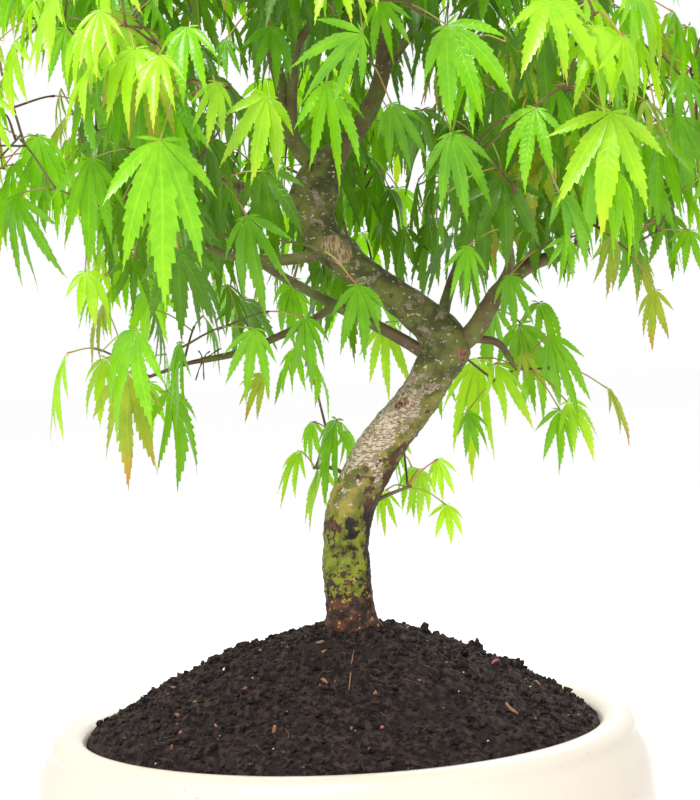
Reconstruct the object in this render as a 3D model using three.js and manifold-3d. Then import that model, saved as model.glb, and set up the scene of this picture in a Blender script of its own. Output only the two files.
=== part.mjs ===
// A potted Japanese maple: a small tree with an S-shaped trunk, grown in a round cream bowl.
// Millimetres, +Z up. The origin is the centre of the bowl's flat underside, and -Y is the front.

import * as THREE from "three";
import { mergeVertices } from "three/addons/utils/BufferGeometryUtils.js";
import Module from "manifold-3d";

const wasm = await Module();
wasm.setup();

// Gap kept between two solids that touch
const GAP = 0.3;

// Bowl: a thick rounded lip round the opening, a full belly under it and a narrower flat foot
const LIP_LEVEL = 181.5;
const LIP_HEIGHT = 7.5;
const OPENING_RADIUS = 128.5;
const SHOULDER_RADIUS = 146.5;
const SHOULDER_LEVEL = LIP_LEVEL - LIP_HEIGHT;
const BELLY_RADIUS = 158.5;
const BELLY_LEVEL = 135;
const FOOT_RADIUS = 95;
const FOOT_BEVEL = 3;
const WALL = 12;
const TURN_STEPS = 36;

// Soil: it fills the bowl and is heaped up to the trunk's foot
const SOIL_EDGE_LEVEL = 177;
const HEAP_POWER = 1.45;
const SEAT_RADIUS = 19;
const LUMP_HEIGHT = 1.6;

// Trunk: [x, y, z, radius] from the flat cut at ground level to the fork at its second bend
const GROUND_LEVEL = 225;
const TRUNK = [
  [6.3, 0, GROUND_LEVEL, 14.2],
  [6.1, 0, 232, 12.6],
  [5.5, 0, 250, 11.7],
  [5.3, 0, 268, 11.4],
  [8.6, 1, 285, 11.6],
  [16.5, 2, 302, 11.8],
  [27.5, 3, 319, 11.4],
  [40.5, 4, 334, 10.4],
  [52, 5, 350, 10.2],
  [59.5, 5, 365, 12.2],
  [51, 4, 379, 9.6],
  [36, 2, 391.5, 8.2],
  [18, -1, 405, 8.2],
  [4, -4, 418, 8.6],
  [-3.5, -6, 434, 10],
  [-0.5, -6, 449, 11.6],
  [6, -5, 462, 8.2],
];
const FLARE_RIDGES = 5;
const FLARE_DEPTH = 0.1;
const FLARE_HEIGHT = 14;

// Crown: the ball that its leaves fill, open round its middle, with a window in front of the upper trunk
const CROWN = { centre: new THREE.Vector3(5, 0, 472), radii: new THREE.Vector3(202, 190, 190) };
const CROWN_OPEN = 0.35;
const WINDOW = { centre: new THREE.Vector3(8, -150, 415), radii: new THREE.Vector3(50, 140, 55) };
const SEED = 11;

// Leaves: lobes and the notches between them as [degrees from the midrib, reach], for half a leaf
const LEAF_LENGTH = 64;
const LEAF_SPREAD = 0.14;
const HALF_OUTLINE = [[17, 0.4], [37, 0.86], [60, 0.34], [96, 0.54]];
const LEAF_THICKNESS = 0.028;
const LEAF_CURL = 0.16;
const HEEL_BACK = 0.022;
const HEEL_DROP = 0.018;
const LEAN_SPREAD = 30;
const FACING_SPREAD = 1.4;

// How many leaves a mass may have, how many places are tried and how far apart the leaves stay, pass by pass
const MOST_LEAVES = 18;
const PLACE_TRIES = 2800;
const LEAF_SPACINGS = [40, 30, 22, 17];
const FACING_TRIES = 6;
const ROOT_TRIES = 4;

// Stems, twigs and leaf stalks, with three sides
const STEM_RADIUS = 1.9;
const STEM_LEAD = 8;
const HUB_SHARE = 0.5;
const TWIG_RADIUS = 1.1;
const TWIG_ARCH = 0.12;
const TWIG_REACH = 31;
const TWIG_END = 0.12;
const STALK_RADIUS = 0.75;
const STALK_LENGTH = 17;
const HEEL_RADIUS = 0.35;

const BARK = new THREE.MeshStandardMaterial({ color: 0x7d8447, roughness: 0.85, metalness: 0 });
const LEAF_GREEN = new THREE.MeshStandardMaterial({ color: 0x5cb81e, roughness: 0.5, metalness: 0 });
const CERAMIC = new THREE.MeshStandardMaterial({ color: 0xf6efdf, roughness: 0.35, metalness: 0 });
const SOIL = new THREE.MeshStandardMaterial({ color: 0x2a2220, roughness: 1, metalness: 0 });

// Seeded random numbers from 0 to 1 (the mulberry32 generator)
function seeded(seed) {
  let state = seed >>> 0;
  return () => {
    state = (state + 0x6d2b79f5) >>> 0;
    let mixed = Math.imul(state ^ (state >>> 15), 1 | state);
    mixed = (mixed + Math.imul(mixed ^ (mixed >>> 7), 61 | mixed)) ^ mixed;
    return ((mixed ^ (mixed >>> 14)) >>> 0) / 4294967296;
  };
}

// A closed geometry as a solid that can be cut and joined
function solid(geometry) {
  const loose = geometry.index ? geometry.toNonIndexed() : geometry;
  const bare = new THREE.BufferGeometry().setAttribute("position", loose.getAttribute("position"));
  const merged = mergeVertices(bare, 1e-4);
  const kept = [];
  for (let i = 0; i < merged.index.count; i += 3) {
    const [a, b, c] = merged.index.array.slice(i, i + 3);
    if (a !== b && b !== c && c !== a) kept.push(a, b, c);
  }
  return new wasm.Manifold(
    new wasm.Mesh({
      numProp: 3,
      vertProperties: merged.attributes.position.array,
      triVerts: new Uint32Array(kept),
    }),
  );
}

// A solid as a geometry again, with faces that lie flat together joined
function geometryOf(made) {
  const mesh = made.asOriginal().simplify(0.05).getMesh();
  return new THREE.BufferGeometry()
    .setAttribute("position", new THREE.BufferAttribute(new Float32Array(mesh.vertProperties), 3))
    .setIndex(new THREE.BufferAttribute(new Uint32Array(mesh.triVerts), 1));
}

function node(name, made, material) {
  const mesh = new THREE.Mesh(geometryOf(made), material);
  mesh.name = name;
  return mesh;
}

// The bowl's outer radius at a height up to its shoulder
function bowlRadius(z) {
  if (z > BELLY_LEVEL) {
    const rise = (z - BELLY_LEVEL) / (SHOULDER_LEVEL - BELLY_LEVEL);
    return BELLY_RADIUS - (BELLY_RADIUS - SHOULDER_RADIUS) * rise ** 2;
  }
  const drop = (BELLY_LEVEL - z) / BELLY_LEVEL;
  return BELLY_RADIUS - (BELLY_RADIUS - FOOT_RADIUS - FOOT_BEVEL) * drop ** 2.2;
}

// Points down the bowl's inside, from under the lip to the floor, moved in by a clearance
function bowlInside(steps, clearance) {
  const points = [new THREE.Vector2(OPENING_RADIUS - clearance, SHOULDER_LEVEL)];
  const top = SHOULDER_LEVEL - LIP_HEIGHT;
  for (let i = 0; i <= steps; i++) {
    const z = top + (WALL + clearance - top) * (i / steps);
    points.push(new THREE.Vector2(bowlRadius(z) - WALL - clearance, z));
  }
  points.push(new THREE.Vector2(0, WALL + clearance));
  return points;
}

// A profile of (radius, height) points turned about the Z axis
function turned(points) {
  return new THREE.LatheGeometry(points, TURN_STEPS).rotateX(Math.PI / 2);
}

function bowl() {
  const points = [new THREE.Vector2(0, 0), new THREE.Vector2(FOOT_RADIUS, 0)];
  const steps = 7;
  for (let i = 0; i <= steps; i++) {
    const z = FOOT_BEVEL + (SHOULDER_LEVEL - FOOT_BEVEL) * (i / steps);
    points.push(new THREE.Vector2(bowlRadius(z), z));
  }
  const lipCentre = (OPENING_RADIUS + SHOULDER_RADIUS) / 2;
  const lipHalf = (SHOULDER_RADIUS - OPENING_RADIUS) / 2;
  const lipSteps = 5;
  for (let i = 1; i < lipSteps; i++) {
    const turn = (Math.PI * i) / lipSteps;
    const r = lipCentre + lipHalf * Math.cos(turn);
    points.push(new THREE.Vector2(r, SHOULDER_LEVEL + LIP_HEIGHT * Math.sin(turn)));
  }
  points.push(...bowlInside(3, 0));
  return solid(turned(points));
}

// Height of the heap's rolling lumps at a place on it
function lump(x, y) {
  return Math.sin(x * 0.083 + 1.3) * Math.cos(y * 0.071) + 0.6 * Math.sin(x * 0.17 - y * 0.13);
}

function soil() {
  const edge = OPENING_RADIUS - GAP;
  const peak = GROUND_LEVEL - GAP - SOIL_EDGE_LEVEL;
  const top = [new THREE.Vector2(0, GROUND_LEVEL - GAP)];
  const steps = 9;
  for (let i = 0; i <= steps; i++) {
    const r = SEAT_RADIUS + (edge - SEAT_RADIUS) * (i / steps);
    const share = (r - SEAT_RADIUS) / (edge - SEAT_RADIUS);
    top.push(new THREE.Vector2(r, SOIL_EDGE_LEVEL + peak * (1 - share ** HEAP_POWER)));
  }
  const points = [...top, ...bowlInside(3, GAP)].reverse();
  const geometry = turned(points);
  const place = geometry.getAttribute("position");
  for (let i = 0; i < place.count; i++) {
    const [x, y, z] = [place.getX(i), place.getY(i), place.getZ(i)];
    const r = Math.hypot(x, y);
    if (z < SOIL_EDGE_LEVEL - 0.01) continue;
    const share = Math.min(1, Math.max(0, (r - SEAT_RADIUS) / (edge - SEAT_RADIUS)));
    place.setX(i, x + TRUNK[0][0] * (1 - share));
    place.setZ(i, z + LUMP_HEIGHT * lump(x, y) * Math.sin(Math.PI * share));
  }
  return solid(geometry);
}

// The line and thickness of a limb given by its stations [x, y, z, radius]
function limbLine(stations) {
  const points = stations.map(([x, y, z]) => new THREE.Vector3(x, y, z));
  const line = new THREE.CatmullRomCurve3(points, false, "centripetal");
  const girth = new THREE.SplineCurve(stations.map((s, i) => new THREE.Vector2(i, s[3])));
  return { line, radiusAt: (t) => girth.getPoint(t).y };
}

// A tapering limb: a closed cylinder bent along its line. Extra thickness is for clearance cuts.
function limb(stations, sides, rings, { extra = 0, swell = () => 1, level = false } = {}) {
  const { line, radiusAt } = limbLine(stations);
  const frames = [];
  let side = null;
  for (let i = 0; i <= rings; i++) {
    const t = i / rings;
    const along = level && i === 0 ? new THREE.Vector3(0, 0, 1) : line.getTangent(t);
    side ??= Math.abs(along.x) > 0.8 ? new THREE.Vector3(0, 1, 0) : new THREE.Vector3(1, 0, 0);
    side = side.clone().addScaledVector(along, -side.dot(along)).normalize();
    const across = side.clone().cross(along);
    frames.push({ centre: line.getPoint(t), side, across, radius: radiusAt(t) + extra });
  }
  const geometry = new THREE.CylinderGeometry(1, 1, 1, sides, rings);
  const place = geometry.getAttribute("position");
  for (let i = 0; i < place.count; i++) {
    const ring = Math.round((place.getY(i) + 0.5) * rings);
    const { centre, side: u, across: v, radius } = frames[ring];
    const [x, y] = [place.getX(i), place.getZ(i)];
    const wide = radius * swell(Math.atan2(y, x), centre.z);
    const moved = centre.clone().addScaledVector(u, x * wide).addScaledVector(v, y * wide);
    place.setXYZ(i, moved.x, moved.y, moved.z);
  }
  return solid(geometry);
}

// Ridges where the roots leave the trunk's foot
function rootFlare(angle, z) {
  const fade = Math.max(0, 1 - (z - GROUND_LEVEL) / FLARE_HEIGHT);
  return 1 + FLARE_DEPTH * fade * Math.cos(FLARE_RIDGES * angle);
}

// Limbs that leave the trunk or another limb: where they start on it, the points they pass and their ends
const LIMBS = {
  leader_right: {
    from: "trunk", at: 0.985, radii: [5, 3],
    through: [[24, 2, 480], [35, 4, 508], [33, 6, 540], [22, 5, 575]],
  },
  leader_left: {
    from: "trunk", at: 0.955, radii: [4.6, 2.6],
    through: [[-12, -6, 472], [-17, -8, 500], [-24, -4, 532]],
  },
  bough_right: {
    from: "trunk", at: 0.555, radii: [5.8, 3],
    through: [[73, 2, 371], [87, 0, 391], [103, 2, 404], [118, 3, 408]],
  },
  bough_front_right: {
    from: "bough_right", at: 0.5, radii: [3, 2],
    through: [[92, -18, 404], [90, -38, 416]],
  },
  bough_low_right: {
    from: "bough_right", at: 0.2, radii: [2.2, 1.6],
    through: [[86, 12, 366], [94, 24, 356]],
  },
  bough_back_right: {
    from: "trunk", at: 0.59, radii: [3.6, 2.2],
    through: [[62, 24, 388], [72, 48, 412]],
  },
  bough_back: {
    from: "trunk", at: 0.57, radii: [3.4, 2.2],
    through: [[44, 20, 376], [30, 44, 396], [16, 74, 420]],
  },
  bough_back_left: {
    from: "trunk", at: 0.53, radii: [3.4, 2],
    through: [[36, 14, 371], [6, 22, 388], [-24, 38, 406], [-42, 56, 420]],
  },
  bough_low_left: {
    from: "bough_back_left", at: 0.5, radii: [2.1, 1.5],
    through: [[-14, 8, 378], [-44, -4, 367], [-62, -10, 364]],
  },
  bough_left: {
    from: "trunk", at: 0.8, radii: [3.2, 2],
    through: [[-20, -4, 412], [-44, -2, 415], [-66, -2, 424]],
  },
  bough_front_left: {
    from: "trunk", at: 0.9, radii: [3.4, 2],
    through: [[-20, -24, 442], [-38, -44, 448]],
  },
  bough_shoulder_front: {
    from: "leader_left", at: 0.35, radii: [2.6, 1.8],
    through: [[-8, -26, 512], [2, -42, 526]],
  },
  bough_shoulder_right: {
    from: "leader_right", at: 0.45, radii: [2.6, 1.8],
    through: [[50, -4, 522], [62, -10, 534]],
  },
  bough_shoulder_back: {
    from: "leader_right", at: 0.6, radii: [2.6, 1.8],
    through: [[34, 28, 538], [34, 44, 546]],
  },
};

// Masses of leaves: the ball each one fills, the limb that bears it and how far its leaves hang, in degrees
const MASSES = {
  left: { centre: [-126, -4, 448], radii: [82, 68, 82], on: "bough_left", lean: 62 },
  right: { centre: [138, 6, 452], radii: [78, 68, 82], on: "bough_right", lean: 62 },
  front_left: { centre: [-76, -108, 462], radii: [74, 78, 84], on: "bough_front_left", lean: 60 },
  front_right: { centre: [94, -104, 464], radii: [76, 78, 84], on: "bough_front_right", lean: 60 },
  back_left: { centre: [-84, 100, 460], radii: [76, 78, 84], on: "bough_back_left", lean: 60 },
  back: { centre: [6, 132, 462], radii: [66, 70, 84], on: "bough_back", lean: 60 },
  back_right: { centre: [96, 98, 462], radii: [76, 78, 84], on: "bough_back_right", lean: 60 },
  low_left: { centre: [-112, -12, 350], radii: [76, 64, 62], on: "bough_low_left", lean: 70 },
  low_right: { centre: [112, 42, 350], radii: [70, 60, 60], on: "bough_low_right", lean: 70 },
  shoulder_front: { centre: [10, -84, 550], radii: [84, 88, 78], on: "bough_shoulder_front", lean: 50 },
  shoulder_left: { centre: [-82, -8, 548], radii: [84, 80, 80], on: "leader_left", lean: 50 },
  shoulder_right: { centre: [94, -6, 550], radii: [84, 80, 80], on: "bough_shoulder_right", lean: 50 },
  shoulder_back: { centre: [14, 82, 550], radii: [88, 88, 80], on: "bough_shoulder_back", lean: 50 },
  top: { centre: [8, 2, 608], radii: [98, 98, 60], on: "leader_right", lean: 26 },
};

// Young shoots straight from the trunk, with small leaves: where each starts along it and its first heading
const SHOOTS = {
  shoot_left: {
    at: 0.3, heading: [-1, 0.6, 0.5], lean: 68, size: 0.62, most: 8,
    centre: [-18, 20, 306], radii: [44, 36, 46],
  },
  shoot_right: {
    at: 0.24, heading: [1, 0.1, 0.5], lean: 72, size: 0.62, most: 6,
    centre: [54, 16, 300], radii: [36, 34, 50],
  },
};

const vector = (place) => new THREE.Vector3(...place);

// Stations of a limb: it starts inside the one that bears it and tapers evenly to its tip
function stationsOf(name) {
  if (name === "trunk") return TRUNK;
  const { from, at, radii, through } = LIMBS[name];
  const start = limbLine(stationsOf(from)).line.getPoint(at);
  const places = [[start.x, start.y, start.z], ...through];
  const thin = (i) => radii[0] + (radii[1] - radii[0]) * (i / (places.length - 1));
  return places.map((place, i) => [...place, thin(i)]);
}

// The largest of a solid's bodies, with scraps and sealed hollows left out
function largest(made) {
  return made.decompose().sort((a, b) => b.volume() - a.volume())[0];
}

function makeLimb(name, extra = 0) {
  if (name === "trunk") return limb(TRUNK, 12, 32, { extra, swell: rootFlare, level: true });
  const stations = stationsOf(name);
  const sides = LIMBS[name].radii[0] > 4 ? 7 : 5;
  return limb(stations, sides, 2 * stations.length, { extra });
}

// Outline of a palmate leaf in its own frame: X across, Y towards the tip, Z up from its face
function leafOutline(length) {
  const right = HALF_OUTLINE.map(([degrees, reach]) => [THREE.MathUtils.degToRad(degrees), reach]);
  const left = right.map(([angle, reach]) => [-angle, reach]).reverse();
  return [...left, [0, 1], ...right].map(
    ([angle, reach]) =>
      new THREE.Vector3(
        length * reach * Math.sin(angle),
        length * reach * Math.cos(angle),
        -LEAF_CURL * length * reach ** 2,
      ),
  );
}

// A leaf blade: its curled outline joined to a point above and one below the base of its midrib
function leafBlade(length, base, axis, normal) {
  const outline = leafOutline(length);
  const half = (LEAF_THICKNESS * length) / 2;
  const [above, below] = [new THREE.Vector3(0, 0, half), new THREE.Vector3(0, 0, -half)];
  const corners = [];
  outline.forEach((point, i) => {
    const next = outline[(i + 1) % outline.length];
    corners.push(above, next, point, below, point, next);
  });
  const geometry = new THREE.BufferGeometry().setFromPoints(corners);
  const across = axis.clone().cross(normal);
  const placed = new THREE.Matrix4().makeBasis(across, axis, normal).setPosition(base);
  return { outline: outline.map((p) => p.applyMatrix4(placed)), made: solid(geometry.applyMatrix4(placed)) };
}

// Every mass and shoot as a space, with its middle and mean size, for sharing the crown between them
const SPACES = Object.entries({ ...MASSES, ...SHOOTS }).map(([name, { centre, radii }]) => ({
  name,
  centre: vector(centre),
  radii: vector(radii),
  size: (radii[0] + radii[1] + radii[2]) / 3,
}));

// How far out a point lies in a ball: 1 is its surface
function reachIn({ centre, radii }, point) {
  return point.clone().sub(centre).divide(radii).length();
}

// Whether a point is on a space's side of the plane between it and another
function onSide(space, other, point) {
  const apart = other.centre.clone().sub(space.centre);
  const share = (apart.length() * space.size) / (space.size + other.size);
  return point.clone().sub(space.centre).dot(apart.normalize()) < share - GAP;
}

// A space is the crown and its own ball, out of the window and cut by the planes to the others
function holds(space, point) {
  if (reachIn(CROWN, point) > 1 && reachIn(space, point) > 1) return false;
  if (reachIn(WINDOW, point) < 1) return false;
  return SPACES.every((other) => other === space || onSide(space, other, point));
}

// Random places for the middles of leaves in a space, with the crown's own middle left open
function leafPlaces(space, random) {
  const spread = () => random() * 2 - 1;
  const places = Array.from({ length: PLACE_TRIES }, () =>
    new THREE.Vector3(spread(), spread(), spread()).multiply(space.radii).add(space.centre),
  );
  const open = space.name in SHOOTS ? 0 : CROWN_OPEN;
  return places.filter((place) => holds(space, place) && reachIn(CROWN, place) > open);
}

// A leaf with its middle at a place, turned outwards from the hub and hanging: its blade, and its heel
// where the stalk ends inside the blade
function hangLeaf(place, hub, { lean, size = 1 }, spread, random) {
  const facing = Math.atan2(place.y - hub.y, place.x - hub.x) + (random() - 0.5) * spread;
  const hang = THREE.MathUtils.degToRad(lean + (random() - 0.5) * LEAN_SPREAD);
  const length = size * LEAF_LENGTH * (1 + LEAF_SPREAD * (random() * 2 - 1));
  const flat = new THREE.Vector3(Math.cos(facing), Math.sin(facing), 0);
  const axis = flat.clone().multiplyScalar(Math.cos(hang)).setZ(-Math.sin(hang));
  const normal = flat.clone().multiplyScalar(Math.sin(hang)).setZ(Math.cos(hang));
  const base = place.clone().addScaledVector(axis, -length / 2);
  const heel = base.clone().addScaledVector(axis, -HEEL_BACK * length);
  heel.addScaledVector(normal, -HEEL_DROP * length);
  return { axis, heel, ...leafBlade(length, base, axis, normal) };
}

// The points on the twigs nearest to a place, kept away from the twigs' ends, nearest first
function nearestOn(twigs, place) {
  const found = twigs.map(([from, to]) => {
    const share = new THREE.Line3(from, to).closestPointToPointParameter(place, true);
    return from.clone().lerp(to, THREE.MathUtils.clamp(share, TWIG_END, 1 - TWIG_END));
  });
  return found.sort((a, b) => a.distanceTo(place) - b.distanceTo(place)).slice(0, ROOT_TRIES);
}

const boxed = (made) => ({ made, box: made.boundingBox() });

// Whether a solid misses all of some others, looking at their boxes first
function misses(made, others) {
  const box = made.boundingBox();
  return others.every((other) => {
    const far = [0, 1, 2].some((i) => box.min[i] > other.box.max[i] || other.box.min[i] > box.max[i]);
    return far || other.made.intersect(made).isEmpty();
  });
}

// A three-sided run of twig through some points
function run(points, radii) {
  return limb(points.map((point, i) => [...point.toArray(), radii[i]]), 3, points.length - 1);
}

// A stalk to a leaf's heel, from behind, out of the nearest twig that it can reach, as a new twig where
// that is far
function findStalk(heel, axis, twigs, others) {
  for (const root of nearestOn(twigs, heel)) {
    const gap = root.distanceTo(heel);
    if (gap < STALK_LENGTH / 2 || heel.clone().sub(root).dot(axis) < 0) continue;
    const far = gap > TWIG_REACH;
    const elbow = heel.clone().lerp(root, STALK_LENGTH / gap);
    elbow.z += TWIG_ARCH * gap;
    const stalk = far
      ? run([root, elbow, heel], [TWIG_RADIUS, STALK_RADIUS, HEEL_RADIUS])
      : run([root, heel], [STALK_RADIUS, HEEL_RADIUS]);
    if (misses(stalk, others)) return { stalk, twig: far ? [root, elbow] : null };
  }
  return null;
}

// A mass of leaves: one stem, twigs that branch from it and a leaf at the end of each stalk
function growMass(name, mass, start, lead, limbs) {
  const space = SPACES.find((each) => each.name === name);
  const random = seeded(SPACES.indexOf(space) + SEED);
  const hub = lead.clone().lerp(space.centre, HUB_SHARE);
  const stems = [boxed(run([start, lead, hub], [STEM_RADIUS, STEM_RADIUS, TWIG_RADIUS]))];
  const twigs = [[lead, hub]];
  const blades = [];

  // Adds a leaf at a place in the first facing that keeps to the space and can be reached by a stalk
  function addLeaf(place) {
    for (let turn = 0; turn < FACING_TRIES; turn++) {
      const spread = FACING_SPREAD * (1 + turn / 2);
      const { axis, outline, made, heel } = hangLeaf(place, hub, mass, spread, random);
      if (![heel, ...outline].every((point) => holds(space, point))) continue;
      if (!misses(made, [...limbs, ...blades, ...stems])) continue;
      const found = findStalk(heel, axis, twigs, [...limbs, ...blades]);
      if (!found) continue;
      blades.push({ ...boxed(made), place });
      stems.push(boxed(found.stalk));
      if (found.twig) twigs.push(found.twig);
      return;
    }
  }

  const places = leafPlaces(space, random);
  for (const spacing of LEAF_SPACINGS) {
    for (const place of places) {
      const crowded = blades.some((blade) => blade.place.distanceTo(place) < spacing * (mass.size ?? 1));
      if (!crowded && blades.length < (mass.most ?? MOST_LEAVES)) addLeaf(place);
    }
  }
  return wasm.Manifold.union([...stems, ...blades].map((piece) => piece.made));
}

// Where a mass's stem starts: just off the tip of its bough
function tipOf(name) {
  const { line } = limbLine(stationsOf(name));
  const heading = line.getTangent(1);
  const start = line.getPoint(1).addScaledVector(heading, GAP);
  return { start, lead: start.clone().addScaledVector(heading, STEM_LEAD) };
}

// Where a shoot's stem starts: inside the trunk, which is cut from it afterwards
function budOf({ at, heading }) {
  const { line, radiusAt } = limbLine(TRUNK);
  const start = line.getPoint(at);
  const out = vector(heading).normalize();
  return { start, lead: start.clone().addScaledVector(out, radiusAt(at) + STEM_LEAD) };
}

const maple = new THREE.Group();
maple.add(node("pot", bowl(), CERAMIC), node("soil", soil(), SOIL), node("trunk", makeLimb("trunk"), BARK));

// The limbs with the gap added to their thickness, for cutting clear whatever meets them
const thick = { trunk: makeLimb("trunk", GAP) };
for (const [name, { from }] of Object.entries(LIMBS)) {
  thick[name] = makeLimb(name, GAP);
  maple.add(node(name, largest(makeLimb(name).subtract(thick[from])), BARK));
}

const limbs = Object.values(thick).map(boxed);
for (const [name, mass] of Object.entries({ ...MASSES, ...SHOOTS })) {
  const bearer = mass.on ?? "trunk";
  const { start, lead } = mass.on ? tipOf(mass.on) : budOf(mass);
  const made = growMass(name, mass, start, lead, limbs).subtract(thick[bearer]);
  maple.add(node("leaves_" + name, largest(made), LEAF_GREEN));
}

export default maple;
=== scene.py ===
# The looks of a potted Japanese maple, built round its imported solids.
# Sizes are in millimetres and turn into metres where a mesh is made. +Z is up and -Y is the front.

import itertools
import math
import random

import bpy
import numpy as np
from mathutils import Matrix, Vector, noise
from mathutils.bvhtree import BVHTree


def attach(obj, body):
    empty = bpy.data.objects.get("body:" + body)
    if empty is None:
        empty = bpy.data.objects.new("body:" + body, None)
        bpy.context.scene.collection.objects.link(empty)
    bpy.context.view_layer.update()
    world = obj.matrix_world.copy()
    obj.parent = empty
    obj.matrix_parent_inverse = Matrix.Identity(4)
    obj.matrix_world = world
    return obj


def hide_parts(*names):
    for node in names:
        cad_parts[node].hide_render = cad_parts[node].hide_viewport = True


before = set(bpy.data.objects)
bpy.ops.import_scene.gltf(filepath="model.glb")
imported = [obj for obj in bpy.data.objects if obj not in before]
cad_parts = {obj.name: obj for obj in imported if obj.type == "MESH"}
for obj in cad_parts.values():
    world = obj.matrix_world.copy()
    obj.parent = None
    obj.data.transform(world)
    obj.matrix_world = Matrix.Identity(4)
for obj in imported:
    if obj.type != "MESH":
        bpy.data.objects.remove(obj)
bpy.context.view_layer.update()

MM = 0.001
UP = Vector((0, 0, 1))

# The gap that the solids keep: the soil to the bowl and the trunk, and a mass of leaves to the next
GAP = 0.3

# Camera: where its axis meets the trunk's plane, its distance, tilt and roll, and its lens in pixels
AIM = Vector((10.7, 0, 340.7))
DISTANCE = 1100
PITCH = math.radians(2.67)
ROLL = math.radians(2.56)
FOCAL_PIXELS = 2200
FRAME_PIXELS = (700, 800)
SENSOR = 36

# Lights: the place of each, the point it faces, its width and its watts
LIGHTS = {
    "key": ((-350, -1150, 1500), (0, 0, 420), 450, 32),
    "behind": ((300, 1300, 1500), (0, 0, 430), 1100, 24),
}

# Floor: its radius, and the rings and sides of its faces
FLOOR_RADIUS = 9000
FLOOR_RINGS = 8
FLOOR_SIDES = 64

# Bowl, as in the solids
LIP_LEVEL = 181.5
LIP_HEIGHT = 7.5
OPENING_RADIUS = 128.5
SHOULDER_RADIUS = 146.5
SHOULDER_LEVEL = LIP_LEVEL - LIP_HEIGHT
BELLY_RADIUS = 158.5
BELLY_LEVEL = 135
FOOT_RADIUS = 95
FOOT_BEVEL = 3
WALL = 12
UPPER_POWER = 2
LOWER_POWER = 2.2
BOWL_MIDDLE = 0.5
BOWL_SIDES = 180

# Steps of the bowl's outline: along the foot, round its edge, up the side, over the lip and down the inside
FOOT_STEPS = 6
BEVEL_STEPS = 4
SIDE_STEPS = 48
LIP_STEPS = 20
INSIDE_STEPS = 24

# The bowl's slight wobble: its height, its waves up the side and the level at which it is full
WOBBLE = 0.25
WOBBLE_WAVES = 0.012
WOBBLE_FULL = 20

# Soil, as in the solids, with finer grains as (waves to a millimetre, height), each in its own layer
SOIL_EDGE_LEVEL = 177
GROUND_LEVEL = 225
HEAP_POWER = 1.45
SEAT_RADIUS = 19
LUMP_HEIGHT = 1.6
SOIL_ROWS = 150
SOIL_SIDES = 330
ROW_POWER = 0.85
SOIL_GRAINS = ((0.055, 2.2), (0.15, 1.9), (0.4, 1.3), (0.9, 0.7))
GRAIN_LAYER = 7

# The heap's rolling lumps, in radians to a millimetre to the right and back: the large ones and the small
ROLL_LARGE = (0.083, 0.071)
ROLL_START = 1.3
ROLL_SMALL = (0.17, -0.13)
SMALL_SHARE = 0.6

# Round the trunk the grains grow over a reach from a calm share, and a small bank slopes down from the bark
CALM_SHARE = 0.15
CALM_REACH = 25
BANK_HEIGHT = 1.2
BANK_SLOPE = 0.1

# The twelve corners of a regular ball of triangles
BALL_RATIO = (1 + math.sqrt(5)) / 2
BALL_POINTS = np.array(
    [(x, y * BALL_RATIO, 0) for x in (-1, 1) for y in (-1, 1)]
    + [(0, x, y * BALL_RATIO) for x in (-1, 1) for y in (-1, 1)]
    + [(y * BALL_RATIO, 0, x) for x in (-1, 1) for y in (-1, 1)]
) / math.hypot(1, BALL_RATIO)

# Clods: how rough, wide and tall each is, how much rarer large ones are, their room and where they lie
CLOD_ROUGH = (0.62, 1.2)
CLOD_WIDE = (0.6, 1)
CLOD_TALL = (0.45, 1)
CLOD_POWER = 2.5
CLOD_ROOM = 0.6
HEAP_EDGE = 3
FOOT_REACH = (1.5, 12)

# Fibres on the heap: points, sides, bends and height over it, and their distance from its edge and the trunk
FIBRE_POINTS = 6
FIBRE_SIDES = 4
FIBRE_BEND = (-0.5, 0.5)
FIBRE_LIFT = 0.4
FIBRE_FLOAT = 0.8
FIBRE_EDGE = 9
FIBRE_END = 4
FIBRE_ROOM = 8

# Clods that stand out on the heap: the photo's pixel across, the depth, the size and how tall for its width
SEEN_CLODS = (
    (484, 6, 5.2, 1.7),
    (526, 4, 3.6, 1.5),
    (402, 10, 4.4, 1),
    (432, 8, 3.8, 1),
    (256, 6, 4.2, 1),
    (300, 12, 3.4, 1),
    (190, 4, 3.8, 1),
    (136, 2, 3.2, 1.1),
)

# Each of these is a pile of lumps: how many, how rough, how much smaller each is, and their spread and rise
PILE_LUMPS = 5
PILE_ROUGH = (0.6, 1.25)
PILE_SHRINK = 0.15
PILE_SPREAD = (-0.5, 0.5)
PILE_SEAT = 0.2
PILE_RISE = 0.12
PILE_SEED = 31

# Straws and chips that the photo shows on the heap: the pixels of the two ends, the width and the skin
SEEN_BITS = (
    ((354, 651), (349, 692), 0.8, "wood"),
    ((506, 705), (518, 717), 2, "wood"),
    ((534, 683), (541, 687), 1.2, "wood"),
    ((321, 682), (328, 686), 1.5, "wood"),
    ((303, 640), (306, 638), 1.2, "wood"),
    ((246, 768), (253, 765), 1, "wood"),
    ((223, 673), (227, 671), 2, "pale"),
    ((492, 666), (499, 662), 1.9, "pink"),
    ((381, 731), (384, 730), 1.6, "pink"),
)

# The shape of each: its stops on the heap, steps, sides, rise for its width, lift and how thick its ends are
BIT_STOPS = 3
BIT_STEPS = 8
BIT_SIDES = 5
BIT_RISE = 0.4
BIT_LIFT = 0.4
BIT_ENDS = 0.4

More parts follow.
